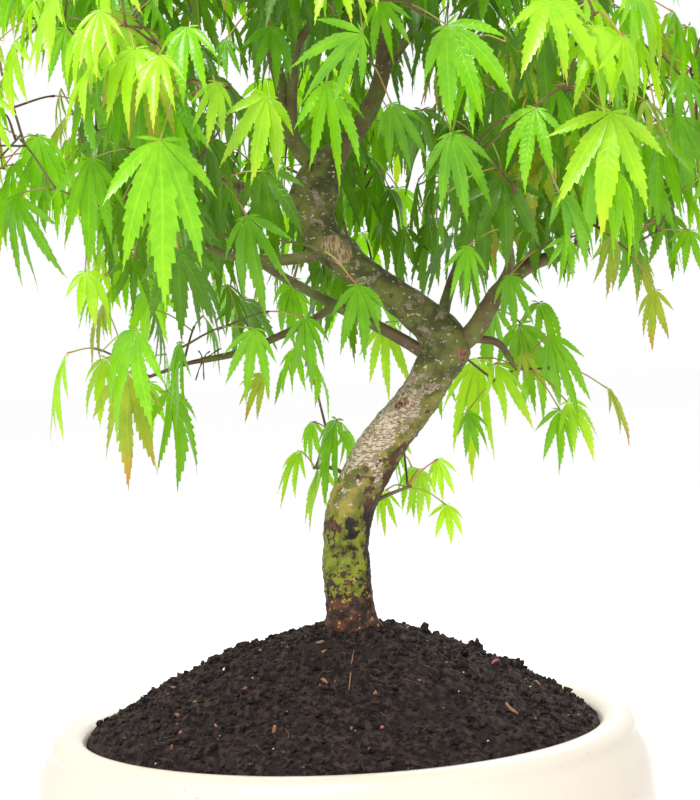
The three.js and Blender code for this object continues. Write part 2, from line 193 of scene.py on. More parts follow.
# Trunk, as in the solids: [x, y, z, radius] from the soil to the fork
TRUNK = (
    (6.3, 0, GROUND_LEVEL, 14.2),
    (6.1, 0, 232, 12.6),
    (5.5, 0, 250, 11.7),
    (5.3, 0, 268, 11.4),
    (8.6, 1, 285, 11.6),
    (16.5, 2, 302, 11.8),
    (27.5, 3, 319, 11.4),
    (40.5, 4, 334, 10.4),
    (52, 5, 350, 10.2),
    (59.5, 5, 365, 12.2),
    (51, 4, 379, 9.6),
    (36, 2, 391.5, 8.2),
    (18, -1, 405, 8.2),
    (4, -4, 418, 8.6),
    (-3.5, -6, 434, 10),
    (-0.5, -6, 449, 11.6),
    (6, -5, 462, 8.2),
)
TRUNK_SUNK = 1
TRUNK_RINGS = 380
TRUNK_SIDES = 84
FLARE_RIDGES = 5
FLARE_DEPTH = 0.1
FLARE_HEIGHT = 14
FLARE_LEAST = 8
FULL_RELIEF = 11

# Relief of the bark: lumps as (waves to a millimetre, height), and flakes and grit
BARK_LUMPS = ((0.07, 0.8), (0.21, 0.5))
FLAKE_HEIGHT = 0.5
FLAKE_WAVES = (0.6, 0.6, 0.45)
GRIT_HEIGHT = 0.2
GRIT_WAVES = 1.6

# Ring lines on the bark: height, radians to a millimetre, lean to the right, sharpness, and how they wander
RING_HEIGHT = 0.3
RING_TURN = 0.7
RING_LEAN = 0.5
RING_POWER = 8
RING_WANDER = 5
RING_WAVES = 0.05

# Swellings and stubs on the trunk: the place, the reach along the bark and the height of each
KNOBS = (
    ((69, -4, 361), 5, 2.6),
    ((62, -7, 372), 6, 1.6),
    ((37, -7, 339), 6, 1.2),
    ((30, -7, 345), 5, -1.2),
    ((-13, -9, 440), 8, 1.6),
    ((9, -13, 455), 7, 1.8),
    ((-4, -10, 268), 6, -0.8),
    ((14, -10, 262), 7, 0.7),
)

# Scars and dark stains on the trunk: the two tones of each kind
STAINS = {
    "scar": ((0.05, 0.022, 0.015), (0.24, 0.12, 0.07)),
    "scar_edge": ((0.07, 0.03, 0.02), (0.3, 0.18, 0.11)),
    "brown": ((0.035, 0.014, 0.01), (0.1, 0.04, 0.024)),
    "black": ((0.01, 0.007, 0.005), (0.02, 0.012, 0.009)),
    "damp": ((0.01, 0.007, 0.005), (0.03, 0.016, 0.01)),
    "red": ((0.12, 0.04, 0.03), (0.26, 0.11, 0.08)),
    "ochre": ((0.13, 0.08, 0.04), (0.3, 0.22, 0.11)),
}

# Where the photo shows each: its kind, its pixel and its radius, and how far its edge wanders and fades
SPOTS = (
    ("scar", (399, 405), 1.9),
    ("scar", (406, 402), 1.5),
    ("scar_edge", (413, 404), 1.2),
    ("brown", (330, 524), 3),
    ("brown", (339, 529), 1.4),
    ("black", (350, 524), 3.2),
    ("black", (353, 535), 2.4),
    ("damp", (351, 547), 1.8),
    ("red", (463, 355), 3),
    ("ochre", (331, 244), 5),
    ("ochre", (342, 254), 5),
)
SPOT_WANDER = 12
SPOT_FADE = (0.7, -0.1)

# The heights between which each kind of bark comes in, and the painted shade of the crown on the upper trunk,
# and how far these edges wander
FOOT_BELOW = (248.5, 246.5)
MOSS_BELOW = (291, 280)
PALE_ABOVE = (300, 311)
PALE_BELOW = (358, 342)
CROWN_SHADE_ABOVE = (315, 362)
RUST_BELOW = (332, 314)
BAND_WANDER = 9

# The same across the trunk: from its middle line where it leans, and at its mossy foot
LEAN_SLOPE = 0.72
LEAN_FOOT = 211.5
PALE_SIDE = (16.5, 10.5)
RUST_SIDE = (16, 21)
DARK_SIDE = (12, 18)

# Limbs, as in the solids: the one that bears each, where it starts along it, its radii and its points
LIMBS = {
    "leader_right": ("trunk", 0.985, (5, 3), ((24, 2, 480), (35, 4, 508), (33, 6, 540), (22, 5, 575))),
    "leader_left": ("trunk", 0.955, (4.6, 2.6), ((-12, -6, 472), (-17, -8, 500), (-24, -4, 532))),
    "bough_right": ("trunk", 0.555, (5.8, 3), ((73, 2, 371), (87, 0, 391), (103, 2, 404), (118, 3, 408))),
    "bough_front_right": ("bough_right", 0.5, (3, 2), ((92, -18, 404), (90, -38, 416))),
    "bough_low_right": ("bough_right", 0.2, (2.2, 1.6), ((86, 12, 366), (94, 24, 356))),
    "bough_back_right": ("trunk", 0.59, (3.6, 2.2), ((62, 24, 388), (72, 48, 412))),
    "bough_back": ("trunk", 0.57, (3.4, 2.2), ((44, 20, 376), (30, 44, 396), (16, 74, 420))),
    "bough_back_left": (
        "trunk", 0.53, (3.4, 2), ((36, 14, 371), (6, 22, 388), (-24, 38, 406), (-42, 56, 420)),
    ),
    "bough_low_left": ("bough_back_left", 0.5, (2.1, 1.5), ((-14, 8, 378), (-44, -4, 367), (-62, -10, 364))),
    "bough_left": ("trunk", 0.8, (3.2, 2), ((-20, -4, 412), (-44, -2, 415), (-66, -2, 424))),
    "bough_front_left": ("trunk", 0.9, (3.4, 2), ((-20, -24, 442), (-38, -44, 448))),
    "bough_shoulder_front": ("leader_left", 0.35, (2.6, 1.8), ((-8, -26, 512), (2, -42, 526))),
    "bough_shoulder_right": ("leader_right", 0.45, (2.6, 1.8), ((50, -4, 522), (62, -10, 534))),
    "bough_shoulder_back": ("leader_right", 0.6, (2.6, 1.8), ((34, 28, 538), (34, 44, 546))),
}
LIMB_RINGS = 26
LIMB_SIDES = 14
STOUT_LIMB = 4
STOUT_SIDES = 20
COLLAR_SWELL = 0.45
COLLAR_REACH = 0.16

# The limbs' simpler shapes for keeping leaves clear: rings to a point, sides, and the room round them
CLEAR_RINGS = 4
CLEAR_SIDES = 8
CLEAR_ROOM = 1

# Tufts of dried stalks: the limb and the number in each, where they start, their lengths, radii, rise and sag
DRIED_TUFTS = (("bough_left", 16), ("bough_right", 12), ("bough_low_left", 8), ("bough_front_left", 8))
DRIED_FROM = 0.985
DRIED_LENGTHS = (4, 11)
DRIED_RADII = (0.42, 0.36, 0.3, 0.28, 0.45, 0.3)
DRIED_RISE = (-0.2, 0.8)
DRIED_SAG = 0.35
DRIED_SEED = 17

# Masses of leaves, as in the solids: middle, radii, the limb that bears each and how far its leaves hang
MASSES = {
    "left": ((-126, -4, 448), (82, 68, 82), "bough_left", 62),
    "right": ((138, 6, 452), (78, 68, 82), "bough_right", 62),
    "front_left": ((-76, -108, 462), (74, 78, 84), "bough_front_left", 60),
    "front_right": ((94, -104, 464), (76, 78, 84), "bough_front_right", 60),
    "back_left": ((-84, 100, 460), (76, 78, 84), "bough_back_left", 60),
    "back": ((6, 132, 462), (66, 70, 84), "bough_back", 60),
    "back_right": ((96, 98, 462), (76, 78, 84), "bough_back_right", 60),
    "low_left": ((-112, -12, 350), (76, 64, 62), "bough_low_left", 70),
    "low_right": ((112, 42, 350), (70, 60, 60), "bough_low_right", 70),
    "shoulder_front": ((10, -84, 550), (84, 88, 78), "bough_shoulder_front", 50),
    "shoulder_left": ((-82, -8, 548), (84, 80, 80), "leader_left", 50),
    "shoulder_right": ((94, -6, 550), (84, 80, 80), "bough_shoulder_right", 50),
    "shoulder_back": ((14, 82, 550), (88, 88, 80), "bough_shoulder_back", 50),
    "top": ((8, 2, 608), (98, 98, 60), "leader_right", 26),
}

# Young shoots on the trunk, as in the solids: middle, radii, start along it, heading and hang
SHOOTS = {
    "shoot_left": ((-18, 20, 306), (44, 36, 46), 0.3, (-1, 0.6, 0.5), 68),
    "shoot_right": ((54, 16, 300), (36, 34, 50), 0.24, (1, 0.1, 0.5), 72),
}

# Crown: the ball that the leaves fill, its open middle, and a window before the trunk
CROWN = ((5, 0, 472), (202, 190, 190))
CROWN_OPEN = 0.3
WINDOW = ((8, -150, 415), (50, 140, 55))

# Each mass and shoot as a space: its middle, its radii and its mean size
SPACES = {
    name: (Vector(row[0]), Vector(row[1]), sum(row[1]) / 3) for name, row in {**MASSES, **SHOOTS}.items()
}

# Leaves that the photo shows clearly, by mass: the pixels of the junction and the tip, the depth, the turn
# from facing the front in degrees, and the tint, which holds painted light and shade as well as the leaf's
# green
CHOSEN_LEAVES = {
    "shoulder_front": (
        ((226, 39), (224, 84), -90, 20, "mid"),
        ((271, 27), (284, 88), -88, -30, "mid"),
        ((326, 16), (331, 82), -60, 30, "deep"),
        ((380, 0), (396, 66), -90, 10, "bright"),
        ((363, 34), (283, 84), -128, -30, "bright"),
        ((326, 82), (349, 192), -112, -30, "bright"),
        ((391, 103), (417, 176), -74, 15, "mid"),
        ((447, 25), (508, 124), -112, 20, "bright"),
        ((473, 65), (436, 142), -100, 30, "bright"),
    ),
    "front_left": (
        ((267, 96), (246, 191), -118, -30, "lime"),
        ((217, 82), (203, 147), -135, -25, "lime"),
        ((160, 140), (166, 308), -150, -30, "bright"),
        ((91, 158), (82, 269), -92, -20, "mid"),
        ((247, 216), (267, 321), -66, 30, "mid"),
        ((262, 171), (289, 262), -60, 30, "deep"),
        ((133, 259), (135, 319), -64, -30, "deep"),
    ),
    "front_right": (
        ((450, 133), (478, 232), -104, 5, "mid"),
        ((536, 108), (513, 190), -106, 20, "bright"),
        ((611, 112), (598, 240), -126, -10, "lime"),
        ((504, 178), (508, 272), -74, -5, "deep"),
        ((468, 246), (464, 314), -54, -20, "bright"),
    ),
    "right": (
        ((612, 237), (607, 300), -50, -40, "bronze"),
        ((567, 238), (556, 284), -40, -20, "bright"),
        ((655, 290), (650, 350), -36, 45, "bronze"),
        ((690, 230), (680, 276), -20, 10, "mid"),
        ((510, 275), (519, 340), -12, 30, "mid"),
    ),
    "left": (
        ((15, 195), (36, 305), -20, 40, "mid"),
        ((85, 272), (104, 326), -44, -20, "lime"),
        ((357, 285), (372, 366), -34, -30, "mid"),
    ),
    "low_left": (
        ((67, 353), (16, 446), -45, 68, "lime"),
        ((137, 329), (92, 440), -52, 40, "bright"),
        ((128, 372), (125, 488), -18, 30, "bronze"),
        ((180, 342), (177, 432), -38, 65, "mid"),
        ((168, 392), (198, 498), -12, -55, "mid"),
        ((255, 328), (240, 410), -34, -10, "bright"),
        ((304, 317), (322, 388), -30, -20, "mid"),
        ((266, 374), (228, 411), 0, -5, "bronze"),
    ),
    "low_right": (
        ((478, 358), (462, 478), 46, 30, "lime"),
        ((494, 364), (544, 424), 40, -30, "lime"),
        ((467, 412), (489, 460), 34, -10, "mid"),
        ((519, 324), (543, 424), 28, 25, "mid"),
        ((549, 335), (596, 412), 38, 50, "mid"),
        ((567, 402), (611, 450), 42, -30, "lime"),
        ((560, 410), (556, 476), 48, -25, "mid"),
        ((607, 388), (642, 440), 40, -65, "bronze"),
        ((524, 353), (528, 382), 20, 25, "bronze"),
        ((386, 322), (386, 402), 24, 20, "lime"),
    ),
    "shoot_left": (
        ((301, 451), (268, 503), 14, 45, "lime"),
        ((337, 419), (306, 512), 10, 55, "mid"),
    ),
    "shoot_right": (
        ((419, 469), (424, 530), 16, -30, "lime"),
        ((438, 459), (447, 504), 16, 30, "lime"),
        ((386, 490), (378, 538), 12, 30, "lime"),
    ),
}

# Places that the photo shows clear of leaves, as sky or bark: the pixel of each one's middle, and its radius
CLEAR_PLACES = (
    ((48, 292), 36),
    ((18, 392), 42),
    ((20, 500), 60),
    ((70, 480), 36),
    ((236, 440), 48),
    ((250, 505), 26),
    ((308, 402), 18),
    ((362, 400), 20),
    ((440, 322), 20),
    ((90, 540), 60),
    ((620, 340), 24),
    ((585, 312), 20),
    ((695, 350), 44),
    ((690, 440), 62),
    ((600, 520), 56),
    ((520, 520), 50),
    ((525, 450), 16),
    ((30, 112), 24),
)

# Growth: leaf sizes, outline and hang, how many tries and leaves to a mass, and how far apart, in passes
LEAF_LENGTH = 46
SHOOT_LEAF = 0.68
LEAF_SPREAD = 0.28
LEAF_CURL = 0.16
HALF_OUTLINE = ((17, 0.4), (37, 0.86), (60, 0.34), (96, 0.54))
LEAN_SPREAD = 34
FACING_SPREAD = 1.4
FACING_TRIES = 4
PLACE_TRIES = 1500
LEAF_SPACINGS = (32, 23, 15, 11)
MOST_LEAVES = {"low_left": 15, "low_right": 14, "shoot_left": 9, "shoot_right": 6}
MOST_ELSEWHERE = 100
ROOT_TRIES = 3
NEAR = 75

# Chosen leaves: the shifts in depth to try, the tip's way forward, where they face, and the room kept clear
DEPTH_SHIFTS = (0, 6, -6, 12, -12, 20, -20)
TIP_FORWARD = 6
FRONT = Vector((0, -1, 0.35))
SHOWN_ROOM = 0.75
SHOWN_DEPTH = 12

# Sprays: the sides of the first leaf where more stand, their turn, rise, size, stalks and free foot
SPRAY_SIDES = (1, -1, 2, -2)
SPRAY_TURN = (0.9, 1.3)
SPRAY_RISE = (-0.1, 0.5)
SPRAY_LEAF = 0.9
SPRAY_STALK = (10, 19)
SPRAY_GAP = 0.03

# Stems, twigs and leaf stalks
STEM_RADIUS = 1.3
STEM_LEAD = 8
STEM_STEPS = 8
STEM_SIDES = 8
HUB_SHARE = 0.5
TWIG_RADIUS = 0.68
TWIG_TAPER = 0.05
TWIG_ARCHES = (0.12, 0.35, 0.6)
TWIG_RISE = 17
TWIG_REACH = 31
TWIG_END = 0.12
TWIG_STEPS = 6
TWIG_SIDES = 6
STALK_RADIUS = 0.38
STALK_LENGTH = 17
STALK_ARCH = 0.08
STALK_HEEL = 1.4
STALK_GAP = 0.04
STALK_STEPS = 5
STALK_SIDES = 5

# Leaf forms: each lobe's angle from the leaf's axis in degrees, and its length as a share of the leaf's
LOBES = ((0, 1.0), (35, 0.86), (72, 0.56), (112, 0.16))
LOBE_TURNS = (0.93, 1.07)
LOBE_LENGTHS = (0.9, 1.05)
LOBE_HALF = 0.104
LOBE_FOOT_POWER = 1.35
LOBE_TIP_POWER = 1.55
LOBE_PEAK = 0.135
LOBE_STEPS = 22
SMALL_LOBE = 0.4
SMALL_LOBE_STEPS = 9
OUTER_BOUND = math.radians(80)
TEETH_FROM = 0.33
TOOTH_BITES = (0.97, 1.15)
TOOTH_LEAN = 0.035
NOTCH_BITES = (0.76, 0.92)
NOTCH_LEAN = -0.012
LEAF_FORMS = 12
LEAF_SEED = 21

# How a leaf hangs: the spread of its lobes, their sag, backward bend, fold in degrees, twist and waves
SPREAD = (0.68, 1.0)
SAG = (0.25, 0.95)
BACK = (-0.05, 0.3)
SIDE_BACK = (0, 0.6)
FOLD = (10, 34)
TWIST = 0.6
TWIST_WAVES = 4
WAVE = 0.014
WAVES_ALONG = 10
WAVES_ROUND = 5
PHASE = (0, 6)
VEIN_WAVES = 95
EDGE_VEINS = 0.8

# Tints: a leaf's darker and lighter green, the light that comes through it, and its tips
# Deep, mid, bright and lime are partly the leaves' own greens and partly painted shade and light: deep for
# leaves in shade, lime for leaves lit through from behind
TINTS = {
    "deep": ((0.038, 0.115, 0.003), (0.066, 0.175, 0.004), (0.18, 0.41, 0.005), (0.09, 0.19, 0.005)),
    "mid": ((0.075, 0.25, 0.003), (0.125, 0.34, 0.004), (0.28, 0.64, 0.006), (0.17, 0.38, 0.006)),
    "bright": ((0.125, 0.39, 0.004), (0.2, 0.49, 0.006), (0.39, 0.83, 0.01), (0.27, 0.55, 0.01)),
    "lime": ((0.24, 0.5, 0.007), (0.32, 0.58, 0.009), (0.5, 0.86, 0.02), (0.5, 0.55, 0.03)),
    "bronze": ((0.17, 0.28, 0.012), (0.28, 0.36, 0.018), (0.48, 0.58, 0.03), (0.48, 0.16, 0.03)),
}
TINT_LIMITS = (("deep", -0.12), ("mid", 0.12), ("bright", 0.38))
BRONZE_SHARES = {"right": 0.2, "low_right": 0.15, "left": 0.12, "low_left": 0.12, "front_left": 0.06}
BRONZE_ELSEWHERE = 0.03

# How light a spray's tint is: lighter near the crown's surface and to the left and front, as painted light
# and shade, and by chance
PAINTED_LIGHT_OUTSIDE = 1.5
PAINTED_LIGHT_FROM = 0.76
PAINTED_LIGHT_LEFT = 0.0011
PAINTED_LIGHT_FRONT = 0.001
LIGHT_CHANCE = 0.17


# Meshes


def mesh_piece(name, points, faces, surface, smooth=True, **values):
    """An object of points in millimetres and faces, with one value for each point in each named layer."""
    mesh = bpy.data.meshes.new(name)
    mesh.from_pydata((np.asarray(points, float) * MM).tolist(), [], faces)
    for layer, numbers in values.items():
        made = mesh.attributes.new(layer, "FLOAT", "POINT")
        made.data.foreach_set("value", np.asarray(numbers, np.float32))
    mesh.polygons.foreach_set("use_smooth", [smooth] * len(mesh.polygons))
    mesh.materials.append(surface)
    piece = bpy.data.objects.new(name, mesh)
    bpy.context.scene.collection.objects.link(piece)
    return piece


def add_piece(name, points, faces, surface, slot, nodes=(), **values):
    """A piece of the object: it rides with the part and may stand for some of its nodes."""
    piece = mesh_piece(name, points, faces, surface, **values)
    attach(piece, "root")
    if nodes:
        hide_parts(*nodes)


def around(sides):
    """The cosine and sine of each step of a full turn."""
    turns = [2 * math.pi * side / sides for side in range(sides)]
    return [(math.cos(turn), math.sin(turn)) for turn in turns]


def ring_faces(rings, sides):
    """Quads between rings of points, and a flat face at each end."""
    faces = []
    for ring in range(rings - 1):
        for side in range(sides):
            a = ring * sides + side
            b = ring * sides + (side + 1) % sides
            faces.append((a, b, b + sides, a + sides))
    faces.append(tuple(reversed(range(sides))))
    faces.append(tuple(range((rings - 1) * sides, rings * sides)))
    return faces


def disc_faces(rings, sides):
    """Faces of a disc that looks up: triangles round its middle point, then quads from ring to ring."""
    faces = [(0, 1 + i, 1 + (i + 1) % sides) for i in range(sides)]
    for ring in range(rings - 1):
        for side in range(sides):
            a = 1 + ring * sides + side
            b = 1 + ring * sides + (side + 1) % sides
            faces.append((a, a + sides, b + sides, b))
    return faces


def joined(parts):
    """Several (points, faces) as one, with the faces' numbers moved on."""
    points, faces = [], []
    for some_points, some_faces in parts:
        start = len(points)
        points.extend(some_points)
        faces.extend(tuple(start + corner for corner in face) for face in some_faces)
    return points, faces


# Lines


def eased(first, last, slope1, slope2, share):
    """A value or point between two, from the slopes at both."""
    return (
        first
        + slope1 * share
        + (first * -3 + last * 3 - slope1 * 2 - slope2) * share**2
        + (first * 2 - last * 2 + slope1 + slope2) * share**3
    )


def curve_at(points, t):
    """A point on the smooth line through some points, with even speed near close ones, at t from 0 to 1."""
    last = len(points) - 1
    at = min(int(t * last), last - 1)
    p1, p2 = points[at], points[at + 1]
    p0 = points[at - 1] if at > 0 else p1 * 2 - p2
    p3 = points[at + 2] if at + 2 <= last else p2 * 2 - p1
    d0, d1, d2 = ((b - a).length ** 0.5 for a, b in ((p0, p1), (p1, p2), (p2, p3)))
    slope1 = ((p1 - p0) / d0 - (p2 - p0) / (d0 + d1) + (p2 - p1) / d1) * d1
    slope2 = ((p2 - p1) / d1 - (p3 - p1) / (d1 + d2) + (p3 - p2) / d2) * d1
    return eased(p1, p2, slope1, slope2, t * last - at)


def girth_at(radii, t):
    """A smooth radius between stations, at t from 0 to 1."""
    last = len(radii) - 1
    at = min(int(t * last), last - 1)
    r0, r1 = radii[max(at - 1, 0)], radii[at]
    r2, r3 = radii[at + 1], radii[min(at + 2, last)]
    return eased(r1, r2, (r2 - r0) / 2, (r3 - r1) / 2, t * last - at)


def smooth_line(points, steps):
    return [curve_at(points, i / steps) for i in range(steps + 1)]


def smooth_girth(radii, steps):
    return [girth_at(radii, i / steps) for i in range(steps + 1)]


def bent(line, steps):
    """A smooth line through two or three points, a little arched where it has two."""
    if len(line) == 2:
        start, end = line
        line = [start, start.lerp(end, 0.5) + UP * (STALK_ARCH * (end - start).length), end]
    return smooth_line(line, steps)


def limb_line(name):
    """The points and radii of the trunk or a limb."""
    if name == "trunk":
        return [Vector(s[:3]) for s in TRUNK], [s[3] for s in TRUNK]
    bearer, at, radii, through = LIMBS[name]
    points = [curve_at(limb_line(bearer)[0], at)] + [Vector(p) for p in through]
    last = len(points) - 1
    return points, [radii[0] + (radii[1] - radii[0]) * i / last for i in range(last + 1)]


def end_heading(points):
    """The direction of a smooth line at its end."""
    step = 1e-4
    return (curve_at(points, 1) - curve_at(points, 1 - step)).normalized()


def swept(line, radii, sides, relief=None):
    """Rings of points along a line of points, each moved out by a relief(place, turn, radius)."""
    points = []
    side = None
    mostly = 0.8
    for index, centre in enumerate(line):
        ahead, behind = line[min(index + 1, len(line) - 1)], line[max(index - 1, 0)]
        along = (ahead - behind).normalized()
        if side is None:
            side = Vector((0, 1, 0)) if abs(along.x) > mostly else Vector((1, 0, 0))
        side = (side - along * side.dot(along)).normalized()
        across = along.cross(side)
        for i in range(sides):
            turn = 2 * math.pi * i / sides
            out = side * math.cos(turn) + across * math.sin(turn)
            far = radii[index]
            if relief:
                far += relief(centre + out * far, turn, far)
            points.append(centre + out * far)
    return points, ring_faces(len(line), sides)


# Camera, stage and light


def camera_axes():
    """The camera's right, up and forward directions."""
    forward = Vector((0, math.cos(PITCH), -math.sin(PITCH)))
    level = Vector((0, math.sin(PITCH), math.cos(PITCH)))
    right = Vector((math.cos(ROLL), 0, 0)) - level * math.sin(ROLL)
    up = Vector((math.sin(ROLL), 0, 0)) + level * math.cos(ROLL)
    return right, up, forward


def camera_place():
    forward = camera_axes()[2]
    return AIM - forward * (DISTANCE / forward.y)


def seen_at(pixel, depth):
    """The point behind a pixel of the photo at a depth along Y."""
    right, up, forward = camera_axes()
    across = (pixel[0] - FRAME_PIXELS[0] / 2) / FOCAL_PIXELS
    rise = (FRAME_PIXELS[1] / 2 - pixel[1]) / FOCAL_PIXELS
    ray = forward + right * across + up * rise
    place = camera_place()
    return place + ray * ((depth - place.y) / ray.y)


def place_on(tree, pixel):
    """The point of a shape that the photo shows at a pixel."""
    start = camera_place()
    return tree.ray_cast(start, (seen_at(pixel, 0) - start).normalized())[0]


def pixel_of(point):
    """The pixel of the photo where a point shows."""
    right, up, forward = camera_axes()
    away = point - camera_place()
    scale = FOCAL_PIXELS / away.dot(forward)
    return (
        FRAME_PIXELS[0] / 2 + away.dot(right) * scale,
        FRAME_PIXELS[1] / 2 - away.dot(up) * scale,
    )


def add_camera():
    data = bpy.data.cameras.new("view")
    data.sensor_width = SENSOR
    data.lens = SENSOR * FOCAL_PIXELS / max(FRAME_PIXELS)
    camera = bpy.data.objects.new("view", data)
    right, up, forward = camera_axes()
    turn = Matrix((right, up, -forward)).transposed()
    camera.matrix_world = Matrix.Translation(camera_place() * MM) @ turn.to_4x4()
    bpy.context.scene.collection.objects.link(camera)
    bpy.context.scene.camera = camera


def add_stage():
    """A plain pale floor, wide enough for every view."""
    points = [(0, 0, 0)]
    for ring in range(FLOOR_RINGS):
        far = FLOOR_RADIUS * (ring + 1) / FLOOR_RINGS
        points.extend((far * x, far * y, 0) for x, y in around(FLOOR_SIDES))
    mesh_piece("floor", points, disc_faces(FLOOR_RINGS, FLOOR_SIDES), paper())


def add_light(name, place, aim, size, watts):
    data = bpy.data.lights.new(name, "AREA")
    data.shape = "DISK"
    data.size = size * MM
    data.energy = watts
    light = bpy.data.objects.new(name, data)
    light.location = Vector(place) * MM
    light.rotation_mode = "QUATERNION"
    light.rotation_quaternion = (Vector(aim) - Vector(place)).to_track_quat("-Z", "Y")
    bpy.context.scene.collection.objects.link(light)


def add_lights():
    world = bpy.data.worlds.new("room")
    world.use_nodes = True
    background = world.node_tree.nodes["Background"]
    background.inputs["Color"].default_value = (1, 1, 1, 1)
    background.inputs["Strength"].default_value = 1
    bpy.context.scene.world = world
    for name, settings in LIGHTS.items():
        add_light(name, *settings)


# Materials


class Skin:
    """A material as it is built. A value in it is a number, a colour or the socket that feeds it."""

    def __init__(self, name, **constants):
        self.made = bpy.data.materials.new(name)
        self.made.use_nodes = True
        self.nodes = self.made.node_tree.nodes
        self.shader = self.nodes["Principled BSDF"]
        self.shade(**constants)
        self.place = self.node("ShaderNodeTexCoord").outputs["Object"]

    def feed(self, socket, value):
        if isinstance(value, bpy.types.NodeSocket):
            self.made.node_tree.links.new(value, socket)
        elif socket.type == "RGBA":
            socket.default_value = (*value, 1)
        else:
            socket.default_value = value

    def shade(self, **values):
        """Feed the shader's inputs, given by name with spaces as underscores."""
        for name, value in values.items():
            self.feed(self.shader.inputs[name.replace("_", " ")], value)

    def node(self, kind, inputs=None, **settings):
        made = self.nodes.new(kind)
        for name, value in settings.items():
            setattr(made, name, value)
        for name, value in (inputs or {}).items():
            self.feed(made.inputs[name], value)
        return made

    def maths(self, operation, *values):
        return self.node("ShaderNodeMath", dict(enumerate(values)), operation=operation).outputs[0]

    def times(self, a, b):
        return self.maths("MULTIPLY", a, b)

    def plus(self, a, b):
        return self.maths("ADD", a, b)

    def layer(self, name):
        """The values of a named layer of the mesh."""
        return self.node("ShaderNodeAttribute", attribute_name=name).outputs["Fac"]

    def stretched(self, scale):
        """The place with each axis scaled, for patterns that run one way."""
        return self.node("ShaderNodeMapping", {"Vector": self.place, "Scale": scale}).outputs["Vector"]

    def grain(self, scale, detail=3.0, roughness=0.55, distortion=0.0, place=None):
        """Soft noise from 0 to 1 with so many waves to a metre."""
        inputs = {
            "Vector": place or self.place,
            "Scale": scale,
            "Detail": detail,
            "Roughness": roughness,
            "Distortion": distortion,
        }
        return self.node("ShaderNodeTexNoise", inputs).outputs["Fac"]

    def fibres(self, scale, detail=3.0, roughness=0.55, distortion=0.0):
        """Noise with so many waves to a metre along each axis."""
        return self.grain(1, detail, roughness, distortion, self.stretched(scale))

    def ramp(self, value, low, high, start=0.0, end=1.0):
        """A value moved smoothly from one range to another and kept inside it."""
        inputs = {"Value": value, "From Min": low, "From Max": high, "To Min": start, "To Max": end}
        node = self.node("ShaderNodeMapRange", inputs, interpolation_type="SMOOTHSTEP")
        return node.outputs["Result"]

    def between(self, value, ends, most=1.0):
        """How far a distance in metres has come from one end to the other, given in millimetres."""
        return self.ramp(value, ends[0] * MM, ends[1] * MM, 0.0, most)

    def patches(self, scale, low, high, detail=3.0, start=0.0, end=1.0):
        """Noise spread from one range to another, in patches with sharper edges as the first is narrower."""
        return self.ramp(self.grain(scale, detail), low, high, start, end)

    def mixed(self, share, first, second):
        """Two colours mixed by a share: the node takes them at sockets 6 and 7 and gives one at 2."""
        return self.node("ShaderNodeMix", {"Factor": share, 6: first, 7: second}, data_type="RGBA").outputs[2]

    def spot(self, centre, radius):
        """A ragged spot round a point, in millimetres."""
        away = self.node("ShaderNodeVectorMath", {0: self.place, 1: centre * MM}, operation="DISTANCE")
        grain = self.grain(170, 6, 0.7)
        ragged = self.maths("MULTIPLY_ADD", grain, SPOT_WANDER * MM, away.outputs["Value"])
        edge = radius + SPOT_WANDER / 2
        return self.between(ragged, (edge + SPOT_FADE[0], edge + SPOT_FADE[1]))

    def bump(self, height, strength, distance):
        inputs = {"Height": height, "Strength": strength, "Distance": distance}
        self.shade(Normal=self.node("ShaderNodeBump", inputs).outputs["Normal"])


def paper():
    skin = Skin("floor_paper", Roughness=0.9)
    skin.shade(Base_Color=skin.mixed(skin.grain(3), (0.975, 0.973, 0.972), (0.99, 0.988, 0.987)))
    return skin.made


def glaze():
    """Cream satin glaze with faint peach blotches and the turning lines of a thrown bowl."""
    skin = Skin("cream_glaze", Coat_Weight=0.2, Coat_Roughness=0.18)
    cream = skin.mixed(skin.patches(9, 0.48, 0.68, 2), (0.565, 0.505, 0.425), (0.59, 0.49, 0.4))
    skin.shade(Base_Color=skin.mixed(skin.patches(420, 0.74, 0.8, 1), cream, (0.45, 0.34, 0.24)))
    skin.shade(Roughness=skin.patches(30, 0.3, 0.7, start=0.24, end=0.4))
    skin.bump(skin.fibres((2, 2, 190), 2), 0.12, 0.0006)
    return skin.made


def earth():
    """Dark damp compost, nearly black, with browner grains."""
    skin = Skin("dark_soil", Specular_IOR_Level=0.12)
    tone = skin.mixed(skin.patches(300, 0.42, 0.66, 4), (0.012, 0.009, 0.0085), (0.054, 0.035, 0.029))
    skin.shade(Base_Color=skin.mixed(skin.patches(70, 0.5, 0.7), tone, (0.026, 0.018, 0.017)))
    skin.shade(Roughness=skin.patches(180, 0.35, 0.65, start=0.65, end=0.95))
    skin.bump(skin.grain(800, 5, 0.75), 1, 0.0012)
    return skin.made


def chip(name, dark, light):
    """Small bits in the soil: their colour varies between two tones."""
    skin = Skin(name, Roughness=0.8)
    skin.shade(Base_Color=skin.mixed(skin.grain(240), dark, light))
    skin.bump(skin.grain(1500), 0.4, 0.0003)
    return skin.made


